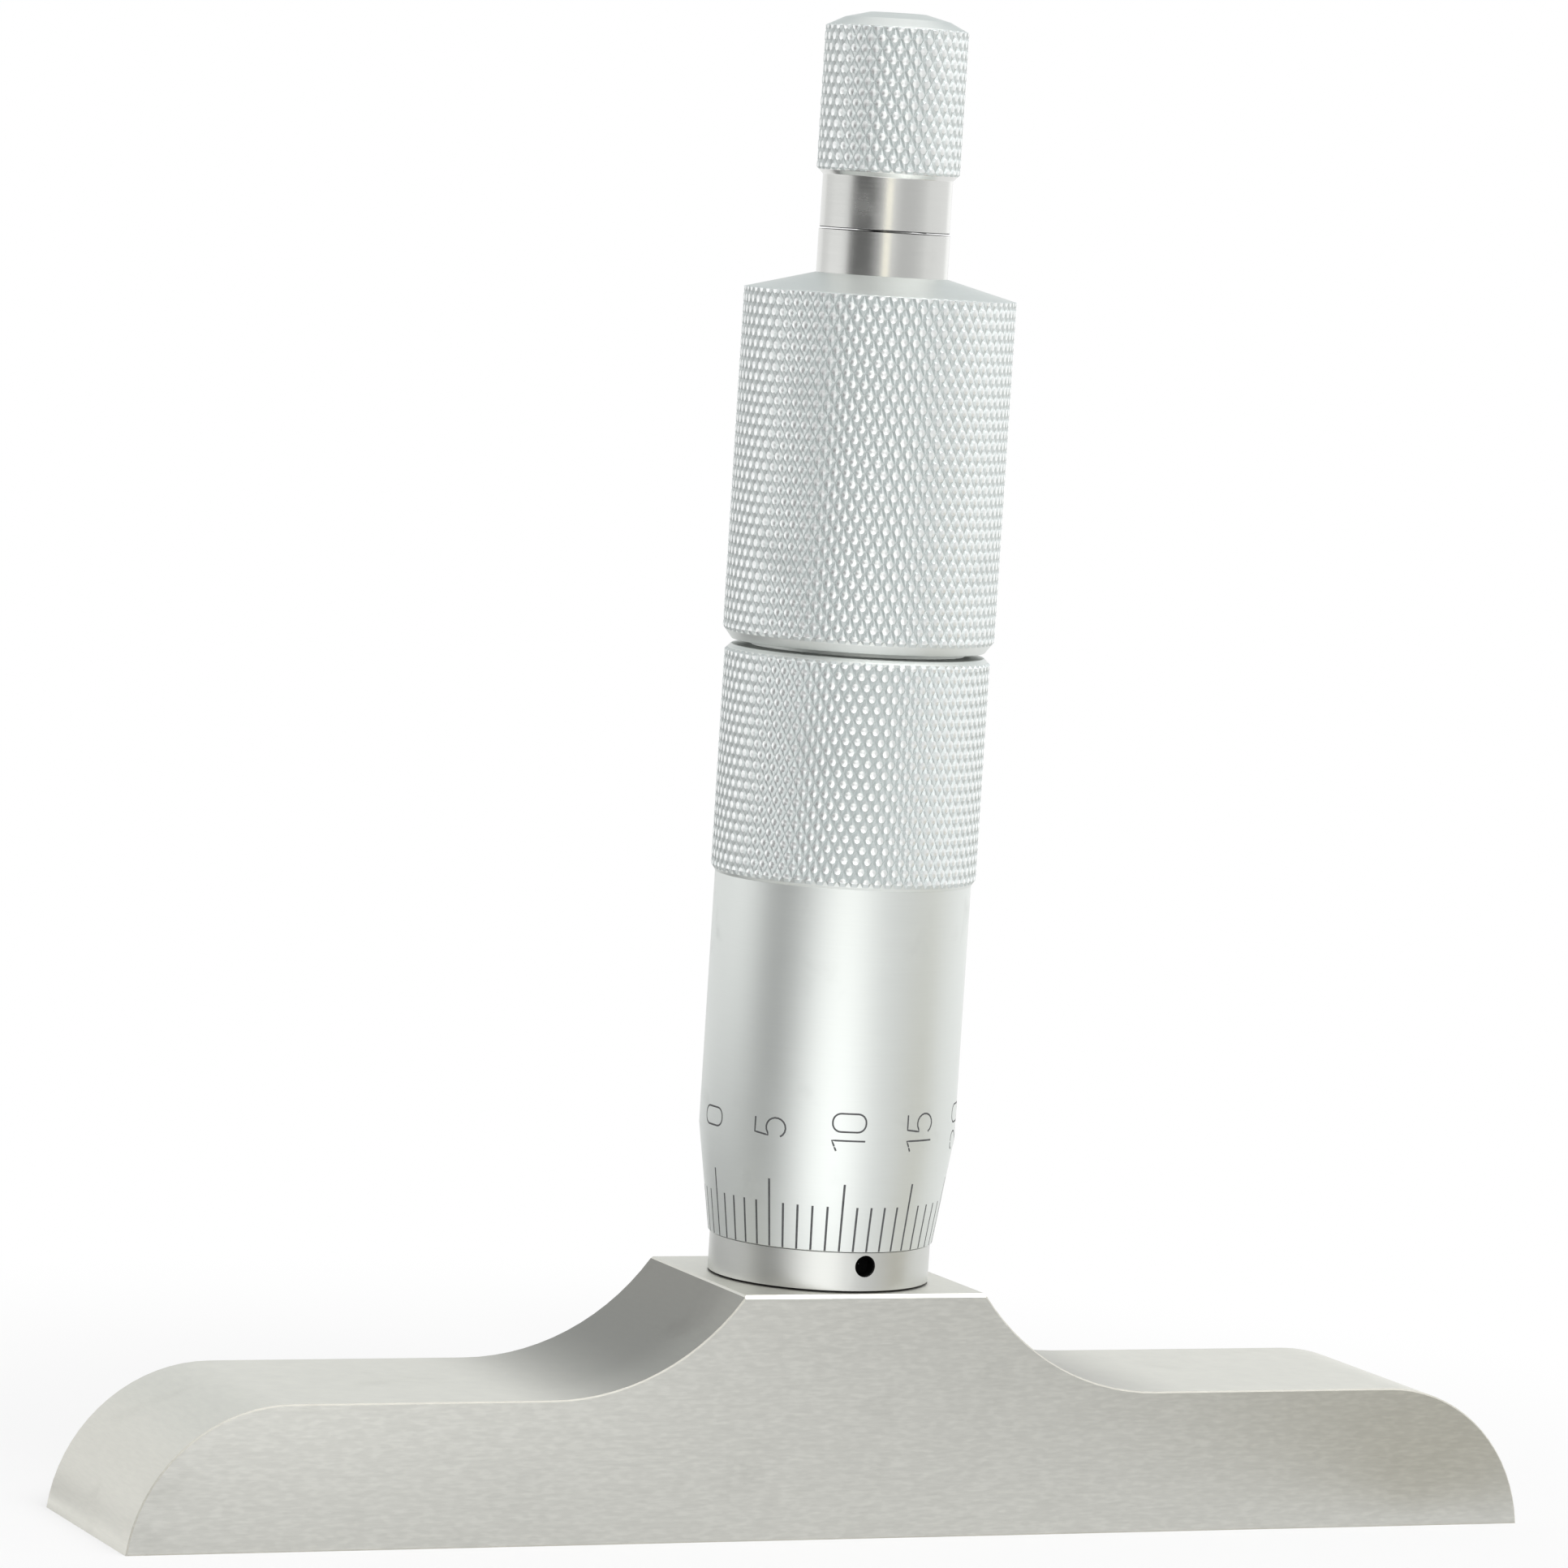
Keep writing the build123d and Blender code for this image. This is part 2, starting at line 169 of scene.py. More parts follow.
class CapSizes(PropertyGroup):
    """Sizes of the long knurled cap."""
    bottom: length("Bottom", "Height of the cap's lower rim", height_of("thimble_cap", 0))
    top: length("Top", "Height of the cone's end", height_of("thimble_cap", 1))
    crest: length("Knurl", "Diameter over the knurl", diameter_of("thimble_cap"))
    rim: length("Rim", "Diameter of the lower rim", 16.9)
    rim_chamfer: length("Rim chamfer", "Height of the chamfer below the knurl", 0.85)
    knurl_rise: length("Knurl rise", "Height of the knurled band", 22.5)
    cone_end: length("Cone end", "Diameter of the cone's upper end", 8.75)
    bore: length("Bore", "Diameter of the threaded bore", 15.08)
    bore_top: length("Bore top", "Height of the threaded bore's end", 66.49)
    hollow: length("Hollow", "Diameter of the hollow above the thread", 13.6)
    ceiling: length("Ceiling", "Height of the hollow's end", 79.44)
    spigot_bore: length("Spigot bore", "Diameter of the bore for the ratchet's spigot", 6.04)
    columns: count("Knurl columns", "Diamonds around the knurl", 71)
    rows: count("Knurl rows", "Half-rows of diamonds up the knurl", 32)


class KnobSizes(PropertyGroup):
    """Sizes of the ratchet knob."""
    bottom: length("Bottom", "Height of the skirt's lower rim", height_of("ratchet_knob", 0))
    top: length("Top", "Height of the knob's top", height_of("ratchet_knob", 1))
    crest: length("Knurl", "Diameter over the knurl", diameter_of("ratchet_knob"))
    skirt: length("Skirt", "Diameter of the polished skirt", 8.65)
    skirt_rise: length("Skirt rise", "Height of the polished skirt", 3.5)
    lead_in: length("Lead-in", "Height of the step from the skirt to the knurl", 0.48)
    knurl_rise: length("Knurl rise", "Height of the knurled band", 9.3)
    bevel_rise: length("Bevel rise", "Height of the bevel above the knurl", 0.65)
    bevel_end: length("Bevel end", "Diameter of the bevel's upper end", 7.0)
    recess_rim: length("Recess rim", "Diameter of the recess's rim", 3.8)
    recess: length("Recess", "Diameter of the screw's recess", 3.4)
    hub_top: length("Hub top", "Height of the recess's floor", 98.96)
    hub_bore: length("Hub bore", "Diameter of the bore on the post's neck", 2.48)
    hub_bottom: length("Hub bottom", "Height of the hub's underside", 93.19)
    hollow: length("Hollow", "Diameter of the skirt's hollow", 7.4)
    columns: count("Knurl columns", "Diamonds around the knurl", 37)
    rows: count("Knurl rows", "Half-rows of diamonds up the knurl", 14)
    knurl_share: amount("Knurl share", "Depth of the knob's knurl as a share of the others'", 0.92)


class FinishColours(PropertyGroup):
    """Colours and finish of the metals."""
    ground_top: tint("Ground top", "Colour of the base's upper faces", (0.72, 0.715, 0.66))
    # Painted shade: the base's front and back are a darker copy of the ground steel of its upper faces
    ground_side: tint("Ground side", "Colour of the base's front and back", (0.575, 0.575, 0.54))
    dulled_edge: tint("Dulled edge", "Colour of the base's broken edges", (0.66, 0.65, 0.60))
    satin_chrome: tint("Satin chrome", "Colour of the satin plating", (0.735, 0.762, 0.742))
    flange_chrome: tint("Flange chrome", "Colour of the sleeve's flange", (0.63, 0.64, 0.615))
    polished_steel: tint("Polished steel", "Colour of the polished collar and skirt", (0.70, 0.705, 0.685))
    tool_steel: tint("Tool steel", "Colour of the inner works", (0.45, 0.45, 0.46))
    spring_steel: tint("Spring steel", "Colour of the ratchet's spring", (0.35, 0.35, 0.36))
    engraving: tint("Engraving", "Colour of the filled graduations", (0.07, 0.072, 0.075))
    # Colour of the painted shade in the spanner hole
    hole: tint("Hole", "Colour inside the spanner hole", (0.006, 0.006, 0.006))
    # Painted shade in the seams between parts: the colour of a dark fill where shade falls
    seam: tint("Seam", "Colour of the oil film in the seams", (0.05, 0.05, 0.052))
    knurl_depth: length("Knurl depth", "Depth of the knurl's grooves", 0.20)
    crest_width: amount("Crest width", "Width of a tooth's top as a share of the diamond's width", 0.56)
    crest_height: amount("Crest height", "Height of a tooth's top as a share of the diamond's height", 0.36)
    crest_dome: amount("Crest dome", "Share of a tooth's depth that its domed top takes up", 0.22)
    # Painted shade: the knurl's flanks are a darker copy of the chrome
    knurl_flank: tint("Knurl flank", "Colour of the knurl's grooves", (0.665, 0.70, 0.695))
    # Worn tops of the knurl: smoother from real wear, and a lighter copy of the chrome as a painted highlight
    knurl_crest: tint("Knurl crest", "Colour of the knurl's worn tops", (0.90, 0.92, 0.915))
    edge_ease: length("Edge ease", "Radius of the eased edges", 0.06)


class StageLevels(PropertyGroup):
    """Levels of the studio light and tone of the floor."""
    floor: tint("Floor", "Colour of the floor", (0.86, 0.86, 0.86))
    ambient: amount("Ambient", "Strength of the even light all round", 0.6, 0.0, 5.0)
    key_watts: amount("Key light", "Power of the soft box near the camera, in watts", 1.2, 0.0, 100.0)
    top_watts: amount("Top light", "Power of the overhead soft box, in watts", 4.0, 0.0, 100.0)


class MicrometerSettings(PropertyGroup):
    """All the settings of the depth micrometer."""
    thimble: PointerProperty(type=ThimbleSizes, name="Thimble", description="Sizes of the thimble")
    sleeve: PointerProperty(type=SleeveSizes, name="Sleeve", description="Sizes of the sleeve")
    scale: PointerProperty(type=ScaleSizes, name="Scale", description="Sizes of the graduations")
    cap: PointerProperty(type=CapSizes, name="Cap", description="Sizes of the cap")
    knob: PointerProperty(type=KnobSizes, name="Knob", description="Sizes of the ratchet knob")
    finish: PointerProperty(type=FinishColours, name="Finish", description="Colours of the metals")
    stage: PointerProperty(type=StageLevels, name="Stage", description="Light and floor")


def settings():
    """The scene's own settings of the depth micrometer."""
    return bpy.context.scene.depth_micrometer


# Node wiring

class Wiring:
    """Adds nodes to a tree. An input may be a number or the socket that feeds it."""

    def __init__(self, tree):
        self.tree = tree

    def node(self, kind, inputs=None, **options):
        made = self.tree.nodes.new(kind)
        for key, value in options.items():
            setattr(made, key, value)
        for key, value in (inputs or {}).items():
            if isinstance(value, bpy.types.NodeSocket):
                self.tree.links.new(value, made.inputs[key])
            else:
                made.inputs[key].default_value = value
        return made

    def out(self, kind, inputs=None, **options):
        """First output of a new node."""
        return self.node(kind, inputs, **options).outputs[0]

    def link(self, socket, target):
        self.tree.links.new(socket, target)

    def math(self, operation, first, second=0.0, third=0.0):
        return self.out("ShaderNodeMath", {0: first, 1: second, 2: third}, operation=operation)

    def plus(self, first, second):
        return self.math("ADD", first, second)

    def minus(self, first, second):
        return self.math("SUBTRACT", first, second)

    def times(self, first, second):
        return self.math("MULTIPLY", first, second)

    def smooth(self, value, start, end, low, high):
        """Goes smoothly from low to high while the value goes from start to end."""
        return self.out("ShaderNodeMapRange", {
            "Value": value, "From Min": start, "From Max": end, "To Min": low, "To Max": high},
            interpolation_type="SMOOTHSTEP")

    def vector(self, operation, first, second=(0.0, 0.0, 0.0)):
        return self.node("ShaderNodeVectorMath", {0: first, 1: second}, operation=operation).outputs

    def split(self, vector):
        return self.node("ShaderNodeSeparateXYZ", {0: vector}).outputs

    def combine(self, x, y, z):
        return self.out("ShaderNodeCombineXYZ", {0: x, 1: y, 2: z})


NUMBER, WHOLE, VECTOR = "NodeSocketFloat", "NodeSocketInt", "NodeSocketVector"
GEOMETRY, MATERIAL = "NodeSocketGeometry", "NodeSocketMaterial"


def numbers(*labels):
    """Sockets that each take a number."""
    return [(label, NUMBER) for label in labels]


def new_group(name, kind, inputs, output):
    """A node group with named sockets, its wiring, its input sockets by name and its output socket."""
    tree = bpy.data.node_groups.new(name, kind)
    for label, socket_type in inputs:
        tree.interface.new_socket(name=label, in_out="INPUT", socket_type=socket_type)
    tree.interface.new_socket(name=output[0], in_out="OUTPUT", socket_type=output[1])
    w = Wiring(tree)
    given = w.node("NodeGroupInput").outputs
    return tree, w, given, w.node("NodeGroupOutput").inputs[0]


def wrap_round_axis(w, turn_angle, radius, height):
    """Position on a turned surface from angle, radius and height."""
    return w.combine(w.times(radius, w.math("COSINE", turn_angle)),
                     w.times(radius, w.math("SINE", turn_angle)), height)


def knurl_tree():
    """Diamond knurl: staggered teeth with domed tops, wrapped round the axis and cut off along both ends."""
    tree, w, given, result = new_group("Diamond knurl", "GeometryNodeTree", [
        ("Geometry", GEOMETRY), ("Columns", WHOLE), ("Rows", WHOLE), ("Finish", MATERIAL),
        ("Crest Finish", MATERIAL), *numbers(
            "Crest Radius", "Depth", "Bottom", "Rise", "Crest Width", "Crest Height", "Crest Dome",
            "Bottom Slope", "Top Slope")], ("Geometry", GEOMETRY))
    index = w.out("GeometryNodeInputIndex")
    row = w.math("FLOOR", w.math("DIVIDE", w.plus(index, 0.5), given["Columns"]))
    column = w.minus(index, w.times(row, given["Columns"]))
    stagger = w.times(w.math("MODULO", row, 2.0), 0.5)
    step = w.math("DIVIDE", TURN, given["Columns"])
    row_step = w.math("DIVIDE", given["Rise"], w.minus(given["Rows"], 1.0))
    place = w.combine(w.times(w.plus(column, stagger), step),
                      w.times(row, row_step), 0.0)
    points = w.out("GeometryNodePoints", {
        "Count": w.times(given["Columns"], given["Rows"]), "Position": place})
    tooth = w.node("GeometryNodeMeshCone", {
        "Vertices": 8, "Side Segments": 1, "Fill Segments": 1, "Radius Top": 0.5, "Radius Bottom": 1.0,
        "Depth": 1.0}, fill_type="TRIANGLE_FAN")
    x, y, z = w.split(w.out("GeometryNodeInputPosition"))
    outward = w.vector("NORMALIZE", w.combine(x, y, 0.0))[0]
    across, along, _ = w.split(outward)
    diamond = w.math("DIVIDE", 1.0, w.plus(w.math("ABSOLUTE", across), w.math("ABSOLUTE", along)))
    wide = w.math("MULTIPLY_ADD", z, w.minus(given["Crest Width"], diamond), diamond)
    tall = w.math("MULTIPLY_ADD", z, w.minus(given["Crest Height"], diamond), diamond)
    rim = w.vector("LENGTH", outward)["Value"]
    domed = w.times(z, w.minus(1.0, w.times(rim, given["Crest Dome"])))
    shaped = w.out("GeometryNodeSetPosition", {
        "Geometry": tooth.outputs["Mesh"],
        "Position": w.combine(w.times(across, wide), w.times(along, tall), domed)})
    size = w.combine(w.times(step, 0.5), row_step, 1.0)
    placed = w.out("GeometryNodeInstanceOnPoints", {"Points": points, "Instance": shaped, "Scale": size})
    real = w.out("GeometryNodeRealizeInstances", {"Geometry": placed})
    x, y, z = w.split(w.out("GeometryNodeInputPosition"))
    sunk = w.times(given["Depth"], w.minus(1.0, z))
    radius = w.minus(given["Crest Radius"], sunk)
    lowest = w.times(sunk, w.times(given["Bottom Slope"], -1.0))
    highest = w.math("MULTIPLY_ADD", sunk, given["Top Slope"], given["Rise"])
    level = w.math("MINIMUM", w.math("MAXIMUM", y, lowest), highest)
    wrapped = w.out("GeometryNodeSetPosition", {
        "Geometry": real, "Position": wrap_round_axis(w, x, radius, w.plus(level, given["Bottom"]))})
    flanks = w.out("GeometryNodeSetMaterial", {"Geometry": wrapped, "Material": given["Finish"]})
    w.link(w.out("GeometryNodeSetMaterial", {
        "Geometry": flanks, "Selection": tooth.outputs["Top"], "Material": given["Crest Finish"]}), result)
    return tree


def engraving_tree():
    """Filled strokes: flat polylines get a low round section and are wrapped on a cone and its cylinder."""
    tree, w, given, result = new_group("Engraved strokes", "GeometryNodeTree", [
        ("Geometry", GEOMETRY), ("Finish", MATERIAL), *numbers(
            "Flat Radius", "Low Radius", "High Radius", "Low Level", "High Level", "Proud")],
        ("Geometry", GEOMETRY))
    curve = w.out("GeometryNodeMeshToCurve", {"Mesh": given["Geometry"]})
    width = w.out("GeometryNodeInputNamedAttribute", {"Name": "stroke_width"}, data_type="FLOAT")
    section = w.out("GeometryNodeCurvePrimitiveCircle", {"Resolution": 8, "Radius": 0.5}, mode="RADIUS")
    swept = w.out("GeometryNodeCurveToMesh", {
        "Curve": curve, "Profile Curve": section, "Scale": width, "Fill Caps": True})
    real = w.out("GeometryNodeRealizeInstances", {"Geometry": swept})
    x, y, z = w.split(w.out("GeometryNodeInputPosition"))
    metal_radius = w.out("ShaderNodeMapRange", {
        "Value": y, "From Min": given["Low Level"], "From Max": given["High Level"],
        "To Min": given["Low Radius"], "To Max": given["High Radius"]}, clamp=True)
    lift = w.math("MINIMUM", w.math("MAXIMUM", z, w.times(given["Proud"], -2.0)), given["Proud"])
    turn_angle = w.math("DIVIDE", x, given["Flat Radius"])
    wrapped = w.out("GeometryNodeSetPosition", {
        "Geometry": real, "Position": wrap_round_axis(w, turn_angle, w.plus(metal_radius, lift), y)})
    w.link(w.out("GeometryNodeSetMaterial", {"Geometry": wrapped, "Material": given["Finish"]}), result)
    return tree


def thread_tree():
    """Thread ridge: a four-cornered section swept along a helix on the root cylinder."""
    tree, w, given, result = new_group("Thread ridge", "GeometryNodeTree", [
        ("Geometry", GEOMETRY), ("Finish", MATERIAL), *numbers(
            "Root Radius", "Depth", "Pitch", "Turns", "Bottom")], ("Geometry", GEOMETRY))
    helix = w.out("GeometryNodeCurveSpiral", {
        "Resolution": 72, "Rotations": given["Turns"], "Start Radius": given["Root Radius"],
        "End Radius": given["Root Radius"], "Height": w.times(given["Pitch"], given["Turns"]),
        "Reverse": True})
    upright = w.out("GeometryNodeSetCurveNormal", {"Curve": helix}, mode="Z_UP")
    section = w.out("GeometryNodeCurvePrimitiveCircle", {"Resolution": 4, "Radius": given["Depth"]},
                    mode="RADIUS")
    swept = w.out("GeometryNodeCurveToMesh", {"Curve": upright, "Profile Curve": section, "Fill Caps": True})
    real = w.out("GeometryNodeRealizeInstances", {"Geometry": swept})
    raised = w.out("GeometryNodeSetPosition", {
        "Geometry": real, "Offset": w.combine(0.0, 0.0, given["Bottom"])})
    w.link(w.out("GeometryNodeSetMaterial", {"Geometry": raised, "Material": given["Finish"]}), result)
    return tree


def shared_group(name, build):
    """A node group, built once."""
    return bpy.data.node_groups.get(name) or build()


def grown(tree, values, source=None):
    """Plain mesh that a Geometry Nodes tree makes with these named values."""
    carrier = bpy.data.objects.new("carrier", source or bpy.data.meshes.new("carrier"))
    bpy.context.collection.objects.link(carrier)
    modifier = carrier.modifiers.new("Shape", "NODES")
    modifier.node_group = tree
    for item in tree.interface.items_tree:
        if item.in_out == "INPUT" and item.name in values:
            modifier[item.identifier] = values[item.name]
    graph = bpy.context.evaluated_depsgraph_get()
    mesh = bpy.data.meshes.new_from_object(carrier.evaluated_get(graph), depsgraph=graph)
    carrier.modifiers.remove(modifier)
    bpy.data.objects.remove(carrier)
    if not mesh.polygons:
        raise RuntimeError(f"{tree.name} made no faces")
    return mesh


# Mesh work

# Half angle of a corner that needs no round, and the angles at which an edge counts as sharp
NEARLY_STRAIGHT = math.radians(84)
TURNED_SHARP = math.radians(40)
MERGED_SHARP = math.radians(28)


def eased(outline, ease, steps=3):
    """Closed outline of (radius, height) points with a small round and two support points at each corner."""
    points = [Vector(p) for p in outline]
    made = []
    for k, corner in enumerate(points):
        before, after = points[k - 1] - corner, points[(k + 1) % len(points)] - corner
        room = min(before.length, after.length)
        half = before.angle(after) / 2
        setback = min(ease / math.tan(half), 0.3 * room)
        if half > NEARLY_STRAIGHT:
            made.append(corner)
            continue
        radius = setback * math.tan(half)
        before, after = before.normalized(), after.normalized()
        centre = corner + (before + after).normalized() * (radius / math.sin(half))
        first, last = corner + before * setback, corner + after * setback
        start, end = first - centre, last - centre
        sweep = start.angle_signed(end)
        support = min(0.5 * setback, 0.1 * room)
        made.append(first + before * support)
        for j in range(steps + 1):
            made.append(centre + Matrix.Rotation(-sweep * j / steps, 2) @ start)
        made.append(last + after * support)
    return made


def turned(name, outline, material, segments=192):
    """Mesh of a closed outline of (radius, height) points turned round the axis."""
    mesh = bpy.data.meshes.new(name)
    size = len(outline)
    vertices, faces = [], []
    for k in range(segments):
        c, s = math.cos(TURN * k / segments), math.sin(TURN * k / segments)
        vertices += [(r * c, r * s, z) for r, z in outline]
        this, following = k * size, (k + 1) % segments * size
        for j in range(size):
            up = (j + 1) % size
            faces.append((this + j, following + j, following + up, this + up))
    mesh.from_pydata(vertices, [], faces)
    mesh.materials.append(material)
    bm = bmesh.new()
    bm.from_mesh(mesh)
    bmesh.ops.recalc_face_normals(bm, faces=bm.faces)
    sharpen(bm, TURNED_SHARP)
    bm.to_mesh(mesh)
    bm.free()
    return mesh


def sharpen(bm, limit):
    """Smooth shading, with a sharp edge wherever two faces meet at more than the limit."""
    for face in bm.faces:
        face.smooth = True
    for edge in bm.edges:
        edge.smooth = edge.calc_face_angle(math.pi) < limit


def joined(name, meshes):
    """One mesh from several, each with the materials it had."""
    whole = bpy.data.meshes.new(name)
    materials = []
    bm = bmesh.new()
    for mesh in meshes:
        slots = []
        for material in mesh.materials:
            if material not in materials:
                materials.append(material)
            slots.append(materials.index(material))
        first = len(bm.faces)
        bm.from_mesh(mesh)
        bm.faces.ensure_lookup_table()
        for face in bm.faces[first:]:
            face.material_index = slots[face.material_index]
    bm.to_mesh(whole)
    bm.free()
    for material in materials:
        whole.materials.append(material)
    return whole


def refinish(mesh, material, chosen):
    """Gives the faces that the test picks, by centre and normal, another finish."""
    mesh.materials.append(material)
    for face in mesh.polygons:
        if chosen(face.center, face.normal):
            face.material_index = len(mesh.materials) - 1


def piece(name, mesh, body, slot, *nodes):
    """Object of a mesh that rides on a body and may stand for CAD nodes. The slot is not used."""
    made = bpy.data.objects.new(name, mesh)
    bpy.context.collection.objects.link(made)
    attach(made, body)
    if nodes:
        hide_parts(*nodes)
    return made


def merged_copy(node, name, material):
    """Mesh with the form of a CAD node, its triangles merged and its round faces shaded smooth."""
    bm = bmesh.new()
    bm.from_mesh(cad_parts[node].data)
    bmesh.ops.remove_doubles(bm, verts=bm.verts, dist=1e-6)
    bmesh.ops.dissolve_degenerate(bm, edges=bm.edges, dist=1e-7)
    sharpen(bm, MERGED_SHARP)
    mesh = bpy.data.meshes.new(name)
    bm.to_mesh(mesh)
    bm.free()
    mesh.materials.append(material)
    return mesh


# Engraved digits

def arc(centre, radii, start, end, steps=10):
    """Points of an elliptic arc, angles in degrees."""
    angles = [math.radians(start + (end - start) * k / steps) for k in range(steps + 1)]
    return [(centre[0] + radii[0] * math.cos(a), centre[1] + radii[1] * math.sin(a)) for a in angles]


# Widths and gap as shares of a digit's height, and the longest straight run of a stroke
DIGIT_WIDTH = 0.54
ONE_WIDTH = 0.31
DIGIT_GAP = 0.26
LONGEST_RUN = 0.25 * MM


def digit_strokes(digit):
    """Single strokes of a digit one unit high, each as (points, closed)."""
    w = DIGIT_WIDTH
    r = w / 2
    if digit == "0":
        c = 0.25
        return [(arc((w - c, 1 - c), (c, c), 0, 90, 6) + arc((c, 1 - c), (c, c), 90, 180, 6)
                 + arc((c, c), (c, c), 180, 270, 6) + arc((w - c, c), (c, c), 270, 360, 6), True)]
    if digit == "1":
        return [([(0.0, 0.86), (ONE_WIDTH, 1.0), (ONE_WIDTH, 0.0)], False)]
    if digit == "2":
        return [(arc((r, 1 - r), (r, r), 170, -35) + [(0.0, 0.0), (w, 0.0)], False)]
    if digit == "3":
        upper = arc((r, 0.76), (r * 0.9, 0.24), 160, -90)
        return [(upper + arc((r, 0.26), (r, 0.26), 90, -160)[1:], False)]
    if digit == "4":
        return [([(0.4, 0.0), (0.4, 1.0), (0.0, 0.3), (w, 0.3)], False)]
    if digit == "5":
        return [([(w * 0.95, 1.0), (0.07, 1.0), (0.01, 0.55)]
                 + arc((r - 0.02, 0.31), (r + 0.02, 0.31), 125, -150, 14), False)]
    raise ValueError(f"no strokes for digit {digit}")


def number_strokes(text, height):
    """Strokes of a number, centred on the origin, with its length along x and its height along y."""
    widths = [ONE_WIDTH if digit == "1" else DIGIT_WIDTH for digit in text]
    left = -(sum(widths) + DIGIT_GAP * (len(text) - 1)) / 2
    made = []
    for digit, width in zip(text, widths):
        for points, closed in digit_strokes(digit):
            made.append(([((left + x) * height, (y - 0.5) * height) for x, y in points], closed))
        left += width + DIGIT_GAP
    return made


def upright_number(value, height, across, level, width):
    """Strokes of a number that reads up the axis, each (points, closed, width)."""
    return [([(across - y, level + x) for x, y in points], closed, width)
            for points, closed in number_strokes(str(value), height)]


def divided(points):
    """The same polyline without long runs, so that it follows a round surface."""
    made = [points[0]]
    for (x0, y0), (x1, y1) in zip(points, points[1:]):
        parts = max(1, math.ceil(math.hypot(x1 - x0, y1 - y0) / LONGEST_RUN))
        made += [(x0 + (x1 - x0) * k / parts, y0 + (y1 - y0) * k / parts) for k in range(1, parts + 1)]
    return made


def strokes_mesh(strokes):
    """Wire mesh of flat strokes, each (points, closed, width), for the engraving tree."""
    vertices, edges, widths = [], [], []
    for points, closed, width in strokes:
        points = divided(points + points[:1])[:-1] if closed else divided(points)
        first = len(vertices)
        vertices += [(x, y, 0.0) for x, y in points]
        edges += [(first + k, first + k + 1) for k in range(len(points) - 1)]
        if closed:
            edges.append((len(vertices) - 1, first))
        widths += [width] * len(points)
    mesh = bpy.data.meshes.new("strokes")
    mesh.from_pydata(vertices, edges, [])
    mesh.attributes.new("stroke_width", "FLOAT", "POINT").data.foreach_set("value", widths)
    return mesh


# Finishes

def stretched_noise(w, given, inputs):
    """Noise on coordinates that are stretched along the tool marks."""
    stretched = w.vector("MULTIPLY", given["Vector"], given["Stretch"])[0]
    return w.node("ShaderNodeTexNoise", {"Vector": stretched, "Scale": 1.0, **inputs}).outputs["Fac"]


def soft_mask(w, noise, cover, softness):
    """Mask of a noise's highest parts, the more of them the larger the cover."""
    edge = w.minus(1.0, cover)
    return w.smooth(noise, edge, w.plus(edge, softness), 0.0, 1.0)


def grain_group():
    """Fine grain: noise stretched along the tool marks, as a value round 0.5."""
    tree, w, given, result = new_group("Fine grain", "ShaderNodeTree", [
        ("Vector", VECTOR), ("Stretch", VECTOR), ("Detail", NUMBER)], ("Value", NUMBER))
    w.link(stretched_noise(w, given, {"Detail": given["Detail"], "Roughness": 0.6}), result)
    return tree


def smudge_group():
    """Handling marks: soft patches where the surface is a little duller."""
    tree, w, given, result = new_group("Handling marks", "ShaderNodeTree", [
        ("Vector", VECTOR), ("Patches", NUMBER), ("Cover", NUMBER)], ("Mask", NUMBER))
    noise = w.node("ShaderNodeTexNoise", {
        "Vector": given["Vector"], "Scale": given["Patches"], "Detail": 4.0, "Distortion": 0.4})
    w.link(soft_mask(w, noise.outputs["Fac"], given["Cover"], softness=0.22), result)
    return tree


def fleck_group():
    """Grinding flecks: short bright dashes along the grinding marks."""
    tree, w, given, result = new_group("Grinding flecks", "ShaderNodeTree", [
        ("Vector", VECTOR), ("Stretch", VECTOR), ("Cover", NUMBER)], ("Mask", NUMBER))
    w.link(soft_mask(w, stretched_noise(w, given, {"Detail": 1.0}), given["Cover"], softness=0.3), result)
    return tree


def shader_group(w, place, name, build, values):
    """Output of a shared shader group in a material, with the material's own values."""
    node = w.node("ShaderNodeGroup", node_tree=shared_group(name, build))
    w.link(place, node.inputs["Vector"])
    for label, value in values.items():
        node.inputs[label].default_value = value
    return node.outputs[0]


def shoulder_fade(w, place, start, end, deep, edge):
    """Painted shade on the base's fillets: a tone that falls from 1 to deep between two distances from the
    base's middle, less at its front edge.
    """
    along, across, _ = w.split(place)
    front, inner = -8.0 * MM, -2.0 * MM
    lowest = w.smooth(across, front, inner, edge, deep)
    return w.smooth(w.math("ABSOLUTE", along), start, end, 1.0, lowest)


def toned(w, colour, tone):
    """A colour made lighter or darker by a tone."""
    return w.vector("MULTIPLY", tuple(colour), w.combine(tone, tone, tone))[0]


def new_material(name):
    """A new material with its wiring, its shader and its Object coordinates."""
    made = bpy.data.materials.new(name)
    made.use_nodes = True
    w = Wiring(made.node_tree)
    return made, w, made.node_tree.nodes["Principled BSDF"], w.node("ShaderNodeTexCoord").outputs["Object"]


# How fine the tool marks are along each axis
GRINDING = (700.0, 700.0, 6000.0)
EDGE_RUB = (900.0, 900.0, 5000.0)
TURNING = (400.0, 400.0, 9000.0)
POLISHING = (300.0, 300.0, 7000.0)
TOOLING = (500.0, 500.0, 8000.0)
DRAWING = (4000.0, 4000.0, 4000.0)
EVEN = (3000.0, 3000.0, 3000.0)
FLECKS = {"Stretch": (1100.0, 1100.0, 3600.0), "Cover": 0.60}

